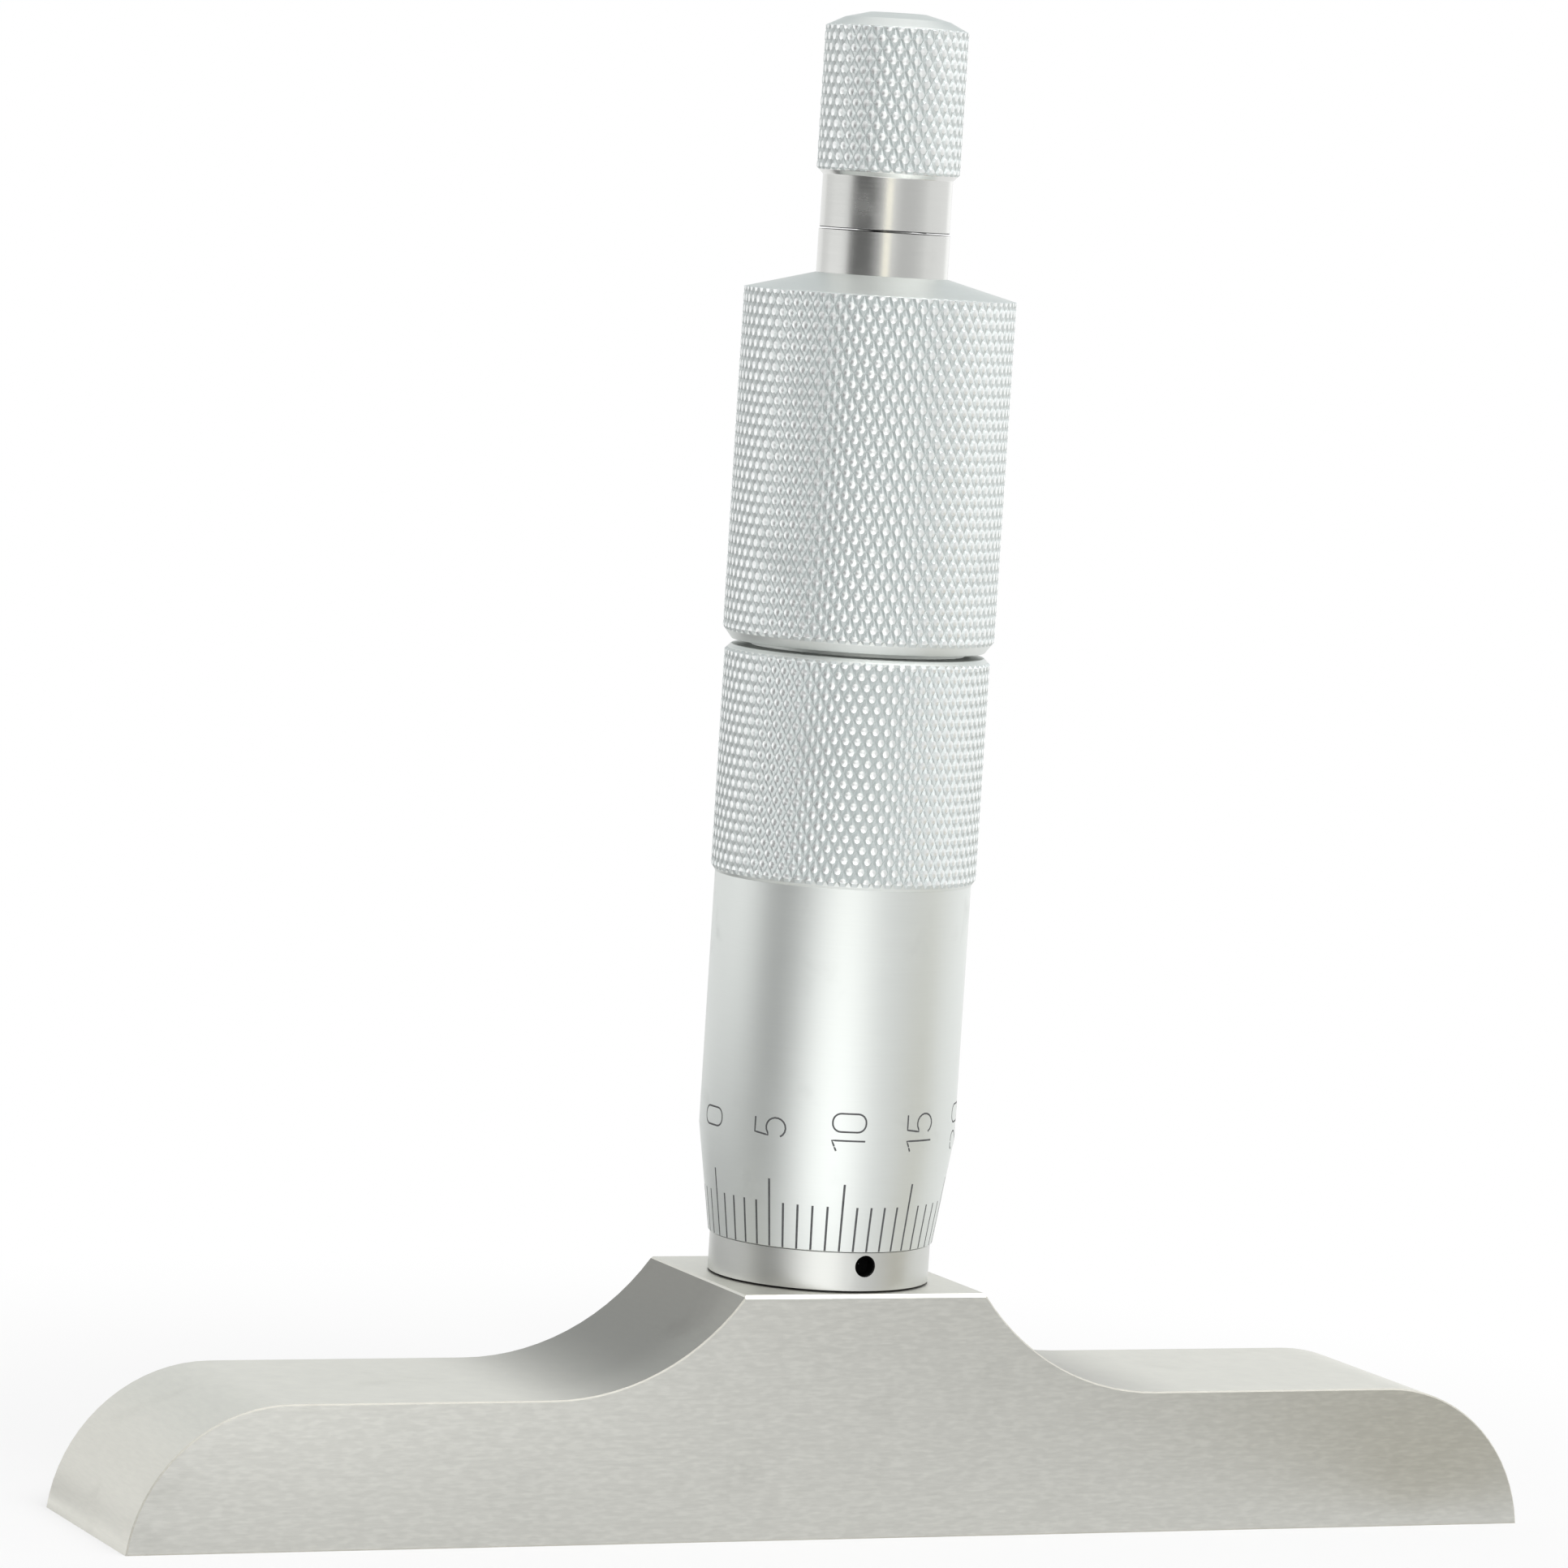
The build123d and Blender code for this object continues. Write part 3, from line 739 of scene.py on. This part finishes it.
# For each finish: its colour's property, its roughness, the direction of its grain, how far the grain changes
# the tone and the bump, and how far handling marks darken it
METALS = {
    "ground_top": ("ground_top", 0.44, GRINDING, 0.16, 0.15, 0.05),
    # Painted shade: a darker copy of the ground steel for the base's front and back
    "ground_side": ("ground_side", 0.44, GRINDING, 0.24, 0.15, 0.07),
    # Painted shade: the fillets darken towards the boss
    "milled_fillet": ("ground_top", 0.44, GRINDING, 0.16, 0.15, 0.05),
    "dulled_edge": ("dulled_edge", 0.75, EDGE_RUB, 0.30, 0.10, 0.05),
    "satin_chrome": ("satin_chrome", 0.45, TURNING, 0.05, 0.08, 0.09),
    "flange_chrome": ("flange_chrome", 0.36, TURNING, 0.05, 0.05, 0.06),
    # Painted shade in the knurl's grooves: a darker copy of the chrome
    "knurled_chrome": ("knurl_flank", 0.56, EVEN, 0.10, 0.05, 0.05),
    # Worn, smoother tops with a painted highlight: a lighter copy of the chrome
    "worn_crest": ("knurl_crest", 0.34, EVEN, 0.10, 0.05, 0.05),
    "polished_steel": ("polished_steel", 0.21, POLISHING, 0.05, 0.03, 0.05),
    "tool_steel": ("tool_steel", 0.34, TOOLING, 0.12, 0.10, 0.08),
    "spring_steel": ("spring_steel", 0.32, DRAWING, 0.15, 0.05, 0.08),
}
SIDE_FLECKS = 0.07
ROUGH_SPREAD = 0.08
BUMP_DEPTH = 0.02 * MM
PATCHES = {"Patches": 180.0, "Cover": 0.42}
PLATED_PATCHES = {"Patches": 240.0, "Cover": 0.40}
# Painted shade on the base's fillets: where it starts and ends along the base, how dark it gets, and how dark
# at the front edge
FILLET_PAINTED_SHADE = {"start": 26.0 * MM, "end": 13.5 * MM, "deep": 0.395, "edge": 0.50}


def metal(finish):
    """Bare or plated metal of a finish, with tool marks and handling marks, and painted shade on the base's
    fillets.
    """
    name = f"{finish}_finish"
    found = bpy.data.materials.get(name)
    if found:
        return found
    colour, roughness, stretch, grain_tone, grain_bump, smudge_tone = METALS[finish]
    made, w, shader, place = new_material(name)
    grain = shader_group(w, place, "Fine grain", grain_group, {"Stretch": stretch, "Detail": 4.0})
    smudge = shader_group(w, place, "Handling marks", smudge_group,
                          PLATED_PATCHES if finish == "satin_chrome" else PATCHES)
    centred = w.minus(grain, 0.5)
    tone = w.math("MULTIPLY_ADD", centred, grain_tone, 1.0)
    tone = w.times(tone, w.math("MULTIPLY_ADD", smudge, -smudge_tone, 1.0))
    if finish == "ground_side":
        dashes = shader_group(w, place, "Grinding flecks", fleck_group, FLECKS)
        tone = w.times(tone, w.math("MULTIPLY_ADD", dashes, SIDE_FLECKS, 1.0))
    # Painted shade, darker up the fillets towards the boss
    if finish == "milled_fillet":
        tone = w.times(tone, shoulder_fade(w, place, **FILLET_PAINTED_SHADE))
    rough = w.math("MULTIPLY_ADD", centred, ROUGH_SPREAD, roughness)
    rough = w.math("MULTIPLY_ADD", smudge, ROUGH_SPREAD, rough)
    bump = w.out("ShaderNodeBump", {"Height": grain, "Strength": grain_bump, "Distance": BUMP_DEPTH})
    w.link(toned(w, getattr(settings().finish, colour), tone), shader.inputs["Base Color"])
    w.link(rough, shader.inputs["Roughness"])
    w.link(bump, shader.inputs["Normal"])
    shader.inputs["Metallic"].default_value = 1.0
    return made


def fill_paint(name, colour, roughness, sheen=0.5):
    """Matt fill of the engraved lines, and of the painted shade in the spanner hole and the seams, a little
    uneven.
    """
    found = bpy.data.materials.get(name)
    if found:
        return found
    made, w, shader, place = new_material(name)
    grain = shader_group(w, place, "Fine grain", grain_group, {"Stretch": EVEN, "Detail": 3.0})
    least, spread, rough_spread = 0.4, 1.2, 0.2
    shader.inputs["Specular IOR Level"].default_value = sheen
    w.link(toned(w, colour, w.math("MULTIPLY_ADD", grain, spread, least)), shader.inputs["Base Color"])
    w.link(w.math("MULTIPLY_ADD", grain, rough_spread, roughness), shader.inputs["Roughness"])
    return made


def seam_grease():
    """Painted shade in the seams between parts: a dark matt fill."""
    return fill_paint("seam_grease", settings().finish.seam, roughness=0.5)


# Bands and scales

# How far a shell lies under the feet of its teeth
ROOT_SINK = 0.005 * MM


def knurl_band(sizes, finish, depth, bottom, low_slope, top_slope):
    """Teeth of a knurled band, with painted shade on the flanks and a painted highlight on the worn tops."""
    return grown(shared_group("Diamond knurl", knurl_tree), {
        "Crest Radius": sizes.crest / 2, "Depth": depth, "Bottom": bottom, "Rise": sizes.knurl_rise,
        "Columns": sizes.columns, "Rows": sizes.rows, "Crest Width": finish.crest_width,
        "Crest Height": finish.crest_height, "Crest Dome": finish.crest_dome, "Bottom Slope": low_slope,
        "Top Slope": top_slope, "Finish": metal("knurled_chrome"), "Crest Finish": metal("worn_crest")})


def engraved(strokes, low, high):
    """Filled strokes on a turned surface between a low and a high (radius, height)."""
    fill = fill_paint("engraving_fill", settings().finish.engraving, roughness=0.45)
    return grown(shared_group("Engraved strokes", engraving_tree), {
        "Flat Radius": high[0], "Low Radius": low[0], "High Radius": high[0], "Low Level": low[1],
        "High Level": high[1], "Proud": settings().scale.proud, "Finish": fill}, strokes_mesh(strokes))


# Operators

# How far a face's normal has to point one way
FULLY, MOSTLY, HALFWAY, PARTLY, HARDLY = 0.95, 0.9, 0.5, 0.3, 0.1


class MICROMETER_OT_base(Operator):
    """Finish the ground base"""
    bl_idname = "micrometer.ground_base"
    bl_label = "Ground base"

    def execute(self, context):
        block = merged_copy("base", "ground_base", metal("ground_top"))
        rim_depth = 0.4 * MM
        boss_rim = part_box("base")[1].z - rim_depth
        # Painted shade: the front and back faces get a darker copy of the ground steel
        refinish(block, metal("ground_side"), lambda centre, normal: abs(normal.y) > FULLY)
        # Painted shade on the fillets, darker towards the boss
        refinish(block, metal("milled_fillet"),
                 lambda centre, normal: abs(normal.y) < HARDLY and normal.z > HALFWAY and centre.z < boss_rim)
        refinish(block, metal("dulled_edge"),
                 lambda centre, normal: PARTLY < abs(normal.y) < FULLY and centre.z < boss_rim)
        piece("ground_base", block, "frame", "ground_steel", "base")
        return {"FINISHED"}


class MICROMETER_OT_sleeve(Operator):
    """Build the sleeve with its scale and the painted shade in the spanner hole"""
    bl_idname = "micrometer.scale_sleeve"
    bl_label = "Scale sleeve"

    def execute(self, context):
        sleeve = settings().sleeve
        radius = sleeve.tube / 2
        shade_rise = 0.02 * MM
        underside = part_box("sleeve")[0].z + shade_rise
        tube = merged_copy("sleeve", "scale_sleeve", metal("satin_chrome"))
        refinish(tube, metal("flange_chrome"),
                 lambda centre, normal: centre.z < sleeve.flange_top and centre.xy.length > radius)
        # Painted shade on the flange's underside, in the seam over the base
        refinish(tube, seam_grease(), lambda centre, normal: centre.z < underside and normal.z < -MOSTLY)
        piece("scale_sleeve", tube, "sleeve", "satin_chrome", "sleeve")
        mesh = engraved(self.scale(settings().scale, radius), (radius, 0.0), (radius, 1.0))
        piece("sleeve_scale", mesh, "sleeve", "satin_chrome")
        # Dark cup of painted shade in the spanner hole
        piece("spanner_hole_lining", self.lining(sleeve), "sleeve", "satin_chrome")
        return {"FINISHED"}

    def scale(self, scale, radius):
        """Strokes of the index line, the half millimetres and their numbers, on the unrolled tube."""
        step, numbered = 0.5 * MM, 10
        zero, across = scale.sleeve_zero, scale.sleeve_index * radius
        foot = zero - scale.sleeve_range * MM - scale.index_overrun
        strokes = [([(across, foot), (across, zero + scale.index_overrun)], False, scale.line_width)]
        for half in range(2 * scale.sleeve_range + 1):
            level = zero - half * step
            reach = scale.sleeve_long_line if half % numbered == 0 else scale.sleeve_line
            end = across - reach if half % 2 == 0 else across + reach
            strokes.append(([(across, level), (end, level)], False, scale.line_width))
            if half % numbered == 0:
                strokes += upright_number(half // 2, scale.sleeve_digit, across - scale.sleeve_number, level,
                                          scale.stroke_width)
        return strokes

    def lining(self, sleeve):
        """Dark cup of painted shade that lines the spanner hole, with a pinhole in its floor."""
        slack, pinhole, depth_share, segments = 0.002 * MM, 0.02 * MM, 0.8, 48
        wall, film, rim = sleeve.hole / 2 - slack, sleeve.lining, depth_share * sleeve.hole_depth
        outline = [(pinhole, 0.0), (wall, 0.0), (wall, rim), (wall - film, rim), (wall - film, film),
                   (pinhole, film)]
        dark = fill_paint("hole_lining", settings().finish.hole, roughness=0.8, sheen=0.0)
        mesh = turned("spanner_hole_lining", outline, dark, segments)
        floor = Matrix.Translation((0.0, -sleeve.hole_floor - slack, sleeve.hole_level))
        mesh.transform(floor @ Matrix.Rotation(math.pi / 2, 4, "X"))
        return mesh


class MICROMETER_OT_thimble(Operator):
    """Build the thimble with its knurl, thread, graduations and numbers"""
    bl_idname = "micrometer.thimble"
    bl_label = "Thimble"

    def execute(self, context):
        t, finish, scale = settings().thimble, settings().finish, settings().scale
        bevel_top = t.bottom + t.bevel_rise
        body_top = bevel_top + t.body_rise
        knurl_bottom = body_top + t.lead_in
        knurl_top = knurl_bottom + t.knurl_rise
        shoulder = knurl_top + t.rim_chamfer
        edge, body, crest = t.edge / 2, t.body / 2, t.crest / 2
        low_slope = t.lead_in / (crest - body)
        root = crest - finish.knurl_depth - ROOT_SINK
        neck_root = t.neck / 2 - t.thread_depth
        outline = [
            (t.bore / 2, t.bottom), (edge, t.bottom), (body, bevel_top), (body, body_top),
            (root, body_top + (root - body) * low_slope), (root, knurl_top + crest - root),
            (crest - t.rim_chamfer, shoulder), (neck_root, shoulder), (neck_root, t.top),
            (t.neck_bore / 2, t.top), (t.neck_bore / 2, t.web_top), (t.taper_high / 2, t.web_top),
            (t.taper_low / 2, t.web_bottom), (t.bore / 2, t.web_bottom)]
        shell = turned("thimble_shell", eased(outline, finish.edge_ease), metal("satin_chrome"))
        knurl = knurl_band(t, finish, finish.knurl_depth, knurl_bottom, low_slope, 1.0)
        thread = grown(shared_group("Thread ridge", thread_tree), {
            "Root Radius": neck_root, "Depth": t.thread_depth, "Pitch": t.thread_pitch,
            "Turns": (t.top - shoulder - 2 * t.thread_margin) / t.thread_pitch,
            "Bottom": shoulder + t.thread_margin, "Finish": metal("satin_chrome")})
        piece("thimble_shell", joined("thimble_shell", [shell, knurl, thread]), "thimble", "satin_chrome",
              "thimble")
        mesh = engraved(self.scale(scale, body, t.bottom), (edge, t.bottom), (body, bevel_top))
        piece("thimble_scale", mesh, "thimble", "satin_chrome")
        return {"FINISHED"}

    def scale(self, scale, radius, bottom):
        """Strokes of the graduation lines and their numbers, on the unrolled thimble."""
        strokes = []
        for line in range(scale.divisions):
            across = (scale.ten_angle + (line - 10) * TURN / scale.divisions) * radius
            numbered = line % 5 == 0
            reach = scale.long_line if numbered else scale.short_line
            strokes.append(([(across, bottom + scale.line_start), (across, bottom + reach)], False,
                            scale.line_width))
            if numbered:
                strokes += upright_number(line, scale.digit_height, across, scale.number_level,
                                          scale.stroke_width)
        return strokes


class MICROMETER_OT_cap(Operator):
    """Build the long knurled cap"""
    bl_idname = "micrometer.rod_cap"
    bl_label = "Rod cap"

    def execute(self, context):
        c, finish = settings().cap, settings().finish
        crest, rim, cone_end = c.crest / 2, c.rim / 2, c.cone_end / 2
        knurl_bottom = c.bottom + c.rim_chamfer
        knurl_top = knurl_bottom + c.knurl_rise
        low_slope = c.rim_chamfer / (crest - rim)
        top_slope = (c.top - knurl_top) / (crest - cone_end)
        root = crest - finish.knurl_depth - ROOT_SINK
        outline = [
            (c.bore / 2, c.bottom), (rim, c.bottom), (root, knurl_bottom - (crest - root) * low_slope),
            (root, knurl_top + (crest - root) * top_slope), (cone_end, c.top), (c.spigot_bore / 2, c.top),
            (c.spigot_bore / 2, c.ceiling), (c.hollow / 2, c.ceiling), (c.hollow / 2, c.bore_top),
            (c.bore / 2, c.bore_top)]
        shell = turned("rod_cap", eased(outline, finish.edge_ease), metal("satin_chrome"))
        knurl = knurl_band(c, finish, finish.knurl_depth, knurl_bottom, low_slope, top_slope)
        piece("rod_cap", joined("rod_cap", [shell, knurl]), "cap", "satin_chrome", "thimble_cap")
        return {"FINISHED"}


class MICROMETER_OT_ratchet(Operator):
    """Build the ratchet knob and finish its collar and screw"""
    bl_idname = "micrometer.ratchet_stop"
    bl_label = "Ratchet stop"

    def execute(self, context):
        k, finish = settings().knob, settings().finish
        crest, skirt = k.crest / 2, k.skirt / 2
        skirt_top = k.bottom + k.skirt_rise
        knurl_bottom = skirt_top + k.lead_in
        knurl_top = knurl_bottom + k.knurl_rise
        low_slope = k.lead_in / (crest - skirt)
        top_slope = k.bevel_rise / (crest - k.bevel_end / 2)
        depth = finish.knurl_depth * k.knurl_share
        root = crest - depth - ROOT_SINK
        outline = [
            (k.hollow / 2, k.bottom), (skirt, k.bottom), (skirt, skirt_top),
            (root, knurl_bottom - (crest - root) * low_slope), (root, knurl_top + (crest - root) * top_slope),
            (k.bevel_end / 2, knurl_top + k.bevel_rise), (k.recess_rim / 2, k.top), (k.recess / 2, k.top),
            (k.recess / 2, k.hub_top), (k.hub_bore / 2, k.hub_top), (k.hub_bore / 2, k.hub_bottom),
            (k.hollow / 2, k.hub_bottom)]
        shell = turned("knob_shell", eased(outline, finish.edge_ease), metal("polished_steel"))
        # Painted shade in the seam between the knob and the collar, on the knob's lowest faces
        shade_rise, collar_depth = 0.07 * MM, 0.2 * MM
        shade_top, collar_top = k.bottom + shade_rise, k.bottom - collar_depth
        refinish(shell, metal("satin_chrome"), lambda centre, normal: centre.z > knurl_bottom)
        refinish(shell, seam_grease(), lambda centre, normal: centre.z < shade_top)
        knurl = knurl_band(k, finish, depth, knurl_bottom, low_slope, top_slope)
        piece("knob_shell", joined("knob_shell", [shell, knurl]), "knob", "satin_chrome", "ratchet_knob")
        collar = merged_copy("ratchet_body", "ratchet_collar", metal("polished_steel"))
        # Painted shade on the collar's top face, in the seam under the knob
        refinish(collar, seam_grease(),
                 lambda centre, normal: normal.z > MOSTLY and collar_top < centre.z < k.bottom)
        piece("ratchet_collar", collar, "cap", "polished_steel", "ratchet_body")
        screw = merged_copy("knob_screw", "knob_screw_head", metal("polished_steel"))
        piece("knob_screw_head", screw, "cap", "polished_steel", "knob_screw")
        return {"FINISHED"}


class MICROMETER_OT_works(Operator):
    """Finish the pieces inside the head"""
    bl_idname = "micrometer.inner_works"
    bl_label = "Inner works"

    def execute(self, context):
        tool = metal("tool_steel")
        for node in ("barrel", "adjusting_nut", "spindle", "rod_seat_ring", "thimble_nut", "ratchet_nut",
                     "ratchet_pin", "ratchet_ring", "knob_tooth_plate", "knob_washer"):
            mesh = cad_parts[node].data
            if not mesh.materials:
                mesh.materials.append(tool)
            for k in range(len(mesh.materials)):
                mesh.materials[k] = tool
        mesh = merged_copy("ratchet_spring", "ratchet_coil", metal("spring_steel"))
        coil = piece("ratchet_coil", mesh, "click_ring", "spring_steel", "ratchet_spring")
        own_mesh(coil)
        return {"FINISHED"}


# Stage

# Camera that was fitted to the photo: picture and focal length in pixels, sensor in millimetres, place in
# metres, and yaw, pitch and roll in degrees
PHOTO_PIXELS = 1932.0
FOCAL_PIXELS = 8802.5
SENSOR = 36.0
CAMERA_PLACE = (-0.2009, -0.4304, 0.0903)
CAMERA_ANGLES = (24.5, 4.94, -3.64)

# Floor: half its side, and the two distances between which it fades to white, with its white share at each
FLOOR_REACH = 6.0
FLOOR_FADE = (0.045, 0.11, 0.58, 1.0)

# Bearings round the axis, towards the camera and away from it, and the point that the lamps shine at
FACING = -115.0
AWAY = FACING + 180.0
LAMP_AIM = Vector((0.0, 0.0, 0.05))
GOLD = (1.0, 0.95, 0.80)
WARM = (0.28, 0.265, 0.22)
COOL = (0.50, 0.55, 0.57)

# For each card: its name, the bearing of its middle in degrees, its strength, its section as (distance,
# height) points in metres, and its stops as (bearing from the middle, shade)
CARDS = (
    ("high_card", FACING, 1.0, ((0.325, 0.022), (0.325, 0.45)),
     ((-62, 0.32), (-40, 0.22), (-20, 0.28), (0, 0.46), (20, 0.52), (45, 0.58), (62, 0.80), (85, 1.0))),
    ("collar_card", FACING, 1.0, ((0.32, 0.064), (0.32, 0.135)),
     ((-135, 0.80), (-104, 0.88), (-80, 0.86), (-69, 0.76), (-60, 0.30), (-50, 0.12), (-32, 0.07),
      (-22, 0.13), (-12, 0.36), (-4, 0.64), (16, 0.76), (30, 0.64), (55, 0.66), (70, 0.76), (80, 0.90),
      (110, 0.94), (140, 0.98))),
    ("gold_card", FACING, 1.45, ((0.318, 0.066), (0.318, 0.118)), ((-1, GOLD), (11, GOLD))),
    ("dark_card", FACING, 1.0, ((0.062, 0.0004), (0.30, 0.0004), (0.30, 0.05)),
     ((-74, 0.50), (-66, 0.28), (-46, 0.165), (-32, 0.68))),
    ("low_card", FACING, 2.0, ((0.045, 0.0004), (0.30, 0.0004), (0.30, 0.022)),
     ((-32, 0.38), (-18, 0.74), (12, 0.775), (36, 0.42), (62, 0.37), (80, WARM), (100, WARM))),
    ("near_card", FACING, 2.0, ((0.05, 0.0007), (0.125, 0.0007)),
     ((-18, 0.62), (-9, 0.96), (10, 0.97), (26, 0.80), (40, 0.42))),
    ("bevel_card", FACING, 1.0, ((0.055, 0.0005), (0.125, 0.0005)), ((-145, 0.22), (-72, 0.16))),
    ("left_card", FACING, 1.5, ((0.31, 0.012), (0.31, 0.068)), ((-112, 1.0), (-66, 1.0))),
    ("right_card", FACING, 1.35, ((0.34, 0.0), (0.34, 0.30)), ((118, 0.75), (130, 0.9), (164, 0.9))),
    ("upper_card", FACING, 1.6, ((0.322, 0.16), (0.322, 0.25)),
     ((-64, 0.30), (-44, 0.85), (-16, 0.85), (2, 0.46))),
    ("cone_card", AWAY, 1.0, ((0.335, 0.20), (0.335, 0.42)), ((-60, COOL), (60, COOL))),
)


def seen_ray(w):
    """1 for rays from the camera, from a reflection or through glass, and 0 for the rest."""
    path = w.node("ShaderNodeLightPath").outputs
    mirrored = w.math("MAXIMUM", path["Is Glossy Ray"], path["Is Transmission Ray"])
    return w.math("MAXIMUM", path["Is Camera Ray"], mirrored)


def staged(name, mesh, material, unseen_by=()):
    """Object of the stage, which some kinds of ray may pass by."""
    mesh.materials.append(material)
    made = bpy.data.objects.new(name, mesh)
    bpy.context.collection.objects.link(made)
    for ray in unseen_by:
        setattr(made, f"visible_{ray}", False)


def glow(w, material, shader):
    """Gives a material another surface than its own shader."""
    w.link(shader, material.node_tree.nodes["Material Output"].inputs["Surface"])


def card(name, facing, strength, section, stops):
    """Curved card that only reflections see: a section swept round the axis. Shades are greys or colours."""
    mesh = bpy.data.meshes.new(name)
    first, last = stops[0][0], stops[-1][0]
    steps, size = 24, len(section)
    vertices, faces = [], []
    for k in range(steps + 1):
        a = math.radians(facing + first + (last - first) * k / steps)
        vertices += [(r * math.cos(a), r * math.sin(a), z) for r, z in section]
    for k in range(steps):
        for j in range(size - 1):
            corner = k * size + j
            faces.append((corner, corner + 1, corner + size + 1, corner + size))
    mesh.from_pydata(vertices, [], faces)
    material, w, _, place = new_material(name)
    x, y, _ = w.split(place)
    bearing = w.math("MULTIPLY_ADD", w.math("ARCTAN2", y, x), 180.0 / math.pi, -facing)
    bearing = w.math("WRAP", bearing, 180.0, -180.0)
    share = w.out("ShaderNodeMapRange", {"Value": bearing, "From Min": first, "From Max": last})
    ramp = w.node("ShaderNodeValToRGB", {"Fac": share})
    marks = ramp.color_ramp.elements
    while len(marks) < len(stops):
        marks.new(0.5)
    for mark, (offset, shade) in zip(marks, stops):
        mark.position = (offset - first) / (last - first)
        mark.color = (*(shade if isinstance(shade, tuple) else (shade,) * 3), 1.0)
    glow(w, material, w.out("ShaderNodeEmission", {"Color": ramp.outputs[0], "Strength": strength}))
    staged(name, mesh, material, ("camera", "diffuse", "shadow", "transmission", "volume_scatter"))


class MICROMETER_OT_stage(Operator):
    """Set the floor, the light and the camera"""
    bl_idname = "micrometer.stage"
    bl_label = "Stage"

    def execute(self, context):
        level = settings().stage
        scene = context.scene
        scene.view_settings.view_transform = "Standard"
        self.world(scene, level)
        self.floor(level)
        self.lights(level)
        self.camera(scene)
        return {"FINISHED"}

    def world(self, scene, level):
        world = bpy.data.worlds.new("studio")
        scene.world = world
        world.use_nodes = True
        w = Wiring(world.node_tree)
        world.node_tree.nodes.clear()
        strength = w.plus(level.ambient, w.times(seen_ray(w), 1.0 - level.ambient))
        back = w.out("ShaderNodeBackground", {"Color": (1.0, 1.0, 1.0, 1.0), "Strength": strength})
        output = w.node("ShaderNodeOutputWorld", {"Surface": back})
        output.is_active_output = True

    def floor(self, level):
        mesh = bpy.data.meshes.new("floor")
        corners = ((-1, -1), (1, -1), (1, 1), (-1, 1))
        mesh.from_pydata([(x * FLOOR_REACH, y * FLOOR_REACH, 0) for x, y in corners], [], [(0, 1, 2, 3)])
        material, w, shader, place = new_material("pale_floor")
        shader.inputs["Base Color"].default_value = (*level.floor, 1.0)
        shader.inputs["Roughness"].default_value = 0.9
        shader.inputs["Specular IOR Level"].default_value = 0.0
        x, y, _ = w.split(place)
        away = w.math("SQRT", w.plus(w.times(x, x), w.times(y, y)))
        white_share = w.times(seen_ray(w), w.smooth(away, *FLOOR_FADE))
        white = w.out("ShaderNodeEmission", {"Color": (1.0, 1.0, 1.0, 1.0), "Strength": 1.0})
        glow(w, material, w.out("ShaderNodeMixShader", {0: white_share, 1: shader.outputs[0], 2: white}))
        staged("floor", mesh, material)

    def lights(self, level):
        self.soft_box("key_box", level.key_watts, FACING + 8, elevation=28.0, distance=0.75, size=(0.10, 0.5))
        self.soft_box("top_box", level.top_watts, FACING + 60, elevation=62.0, distance=0.9, size=(0.6, 0.6))
        for values in CARDS:
            card(*values)

    def soft_box(self, name, watts, bearing, elevation, distance, size):
        """White area lamp at a bearing and an elevation, in degrees, and a distance from its aim."""
        lamp = bpy.data.lights.new(name, "AREA")
        lamp.shape = "RECTANGLE"
        lamp.size, lamp.size_y = size
        lamp.energy = watts
        made = bpy.data.objects.new(name, lamp)
        bpy.context.collection.objects.link(made)
        a, e = math.radians(bearing), math.radians(elevation)
        away = Vector((math.cos(a) * math.cos(e), math.sin(a) * math.cos(e), math.sin(e)))
        made.location = LAMP_AIM + away * distance
        made.rotation_euler = (-away).to_track_quat("-Z", "Y").to_euler()

    def camera(self, scene):
        lens = bpy.data.cameras.new("camera")
        lens.sensor_width = SENSOR
        lens.lens = SENSOR * FOCAL_PIXELS / PHOTO_PIXELS
        lens.clip_start, lens.clip_end = 0.01, 50.0
        yaw, pitch, roll = (math.radians(d) for d in CAMERA_ANGLES)
        forward = Vector((math.sin(yaw) * math.cos(pitch), math.cos(yaw) * math.cos(pitch),
                          -math.sin(pitch)))
        level = Vector((math.cos(yaw), -math.sin(yaw), 0.0))
        down = forward.cross(level)
        right = level * math.cos(roll) + down * math.sin(roll)
        below = down * math.cos(roll) - level * math.sin(roll)
        turn = Matrix((right, -below, -forward)).transposed()
        made = bpy.data.objects.new("camera", lens)
        bpy.context.collection.objects.link(made)
        made.matrix_world = Matrix.Translation(CAMERA_PLACE) @ turn.to_4x4()
        scene.camera = made


OPERATORS = (MICROMETER_OT_base, MICROMETER_OT_sleeve, MICROMETER_OT_thimble, MICROMETER_OT_cap,
             MICROMETER_OT_ratchet, MICROMETER_OT_works, MICROMETER_OT_stage)


class MICROMETER_PT_panel(Panel):
    """Depth micrometer in the sidebar"""
    bl_idname = "MICROMETER_PT_panel"
    bl_label = "Depth Micrometer"
    bl_space_type = "VIEW_3D"
    bl_region_type = "UI"
    bl_category = "Micrometer"

    def draw(self, context):
        for operator in OPERATORS:
            self.layout.operator(operator.bl_idname)


CLASSES = (SleeveSizes, ThimbleSizes, ScaleSizes, CapSizes, KnobSizes, FinishColours, StageLevels,
           MicrometerSettings, *OPERATORS, MICROMETER_PT_panel)


def register():
    for cls in CLASSES:
        bpy.utils.register_class(cls)
    bpy.types.Scene.depth_micrometer = PointerProperty(type=MicrometerSettings)


def unregister():
    del bpy.types.Scene.depth_micrometer
    for cls in reversed(CLASSES):
        bpy.utils.unregister_class(cls)


def main():
    register()
    bpy.ops.micrometer.ground_base()
    bpy.ops.micrometer.scale_sleeve()
    bpy.ops.micrometer.thimble()
    bpy.ops.micrometer.rod_cap()
    bpy.ops.micrometer.ratchet_stop()
    bpy.ops.micrometer.inner_works()
    bpy.ops.micrometer.stage()


if __name__ == "__main__":
    main()
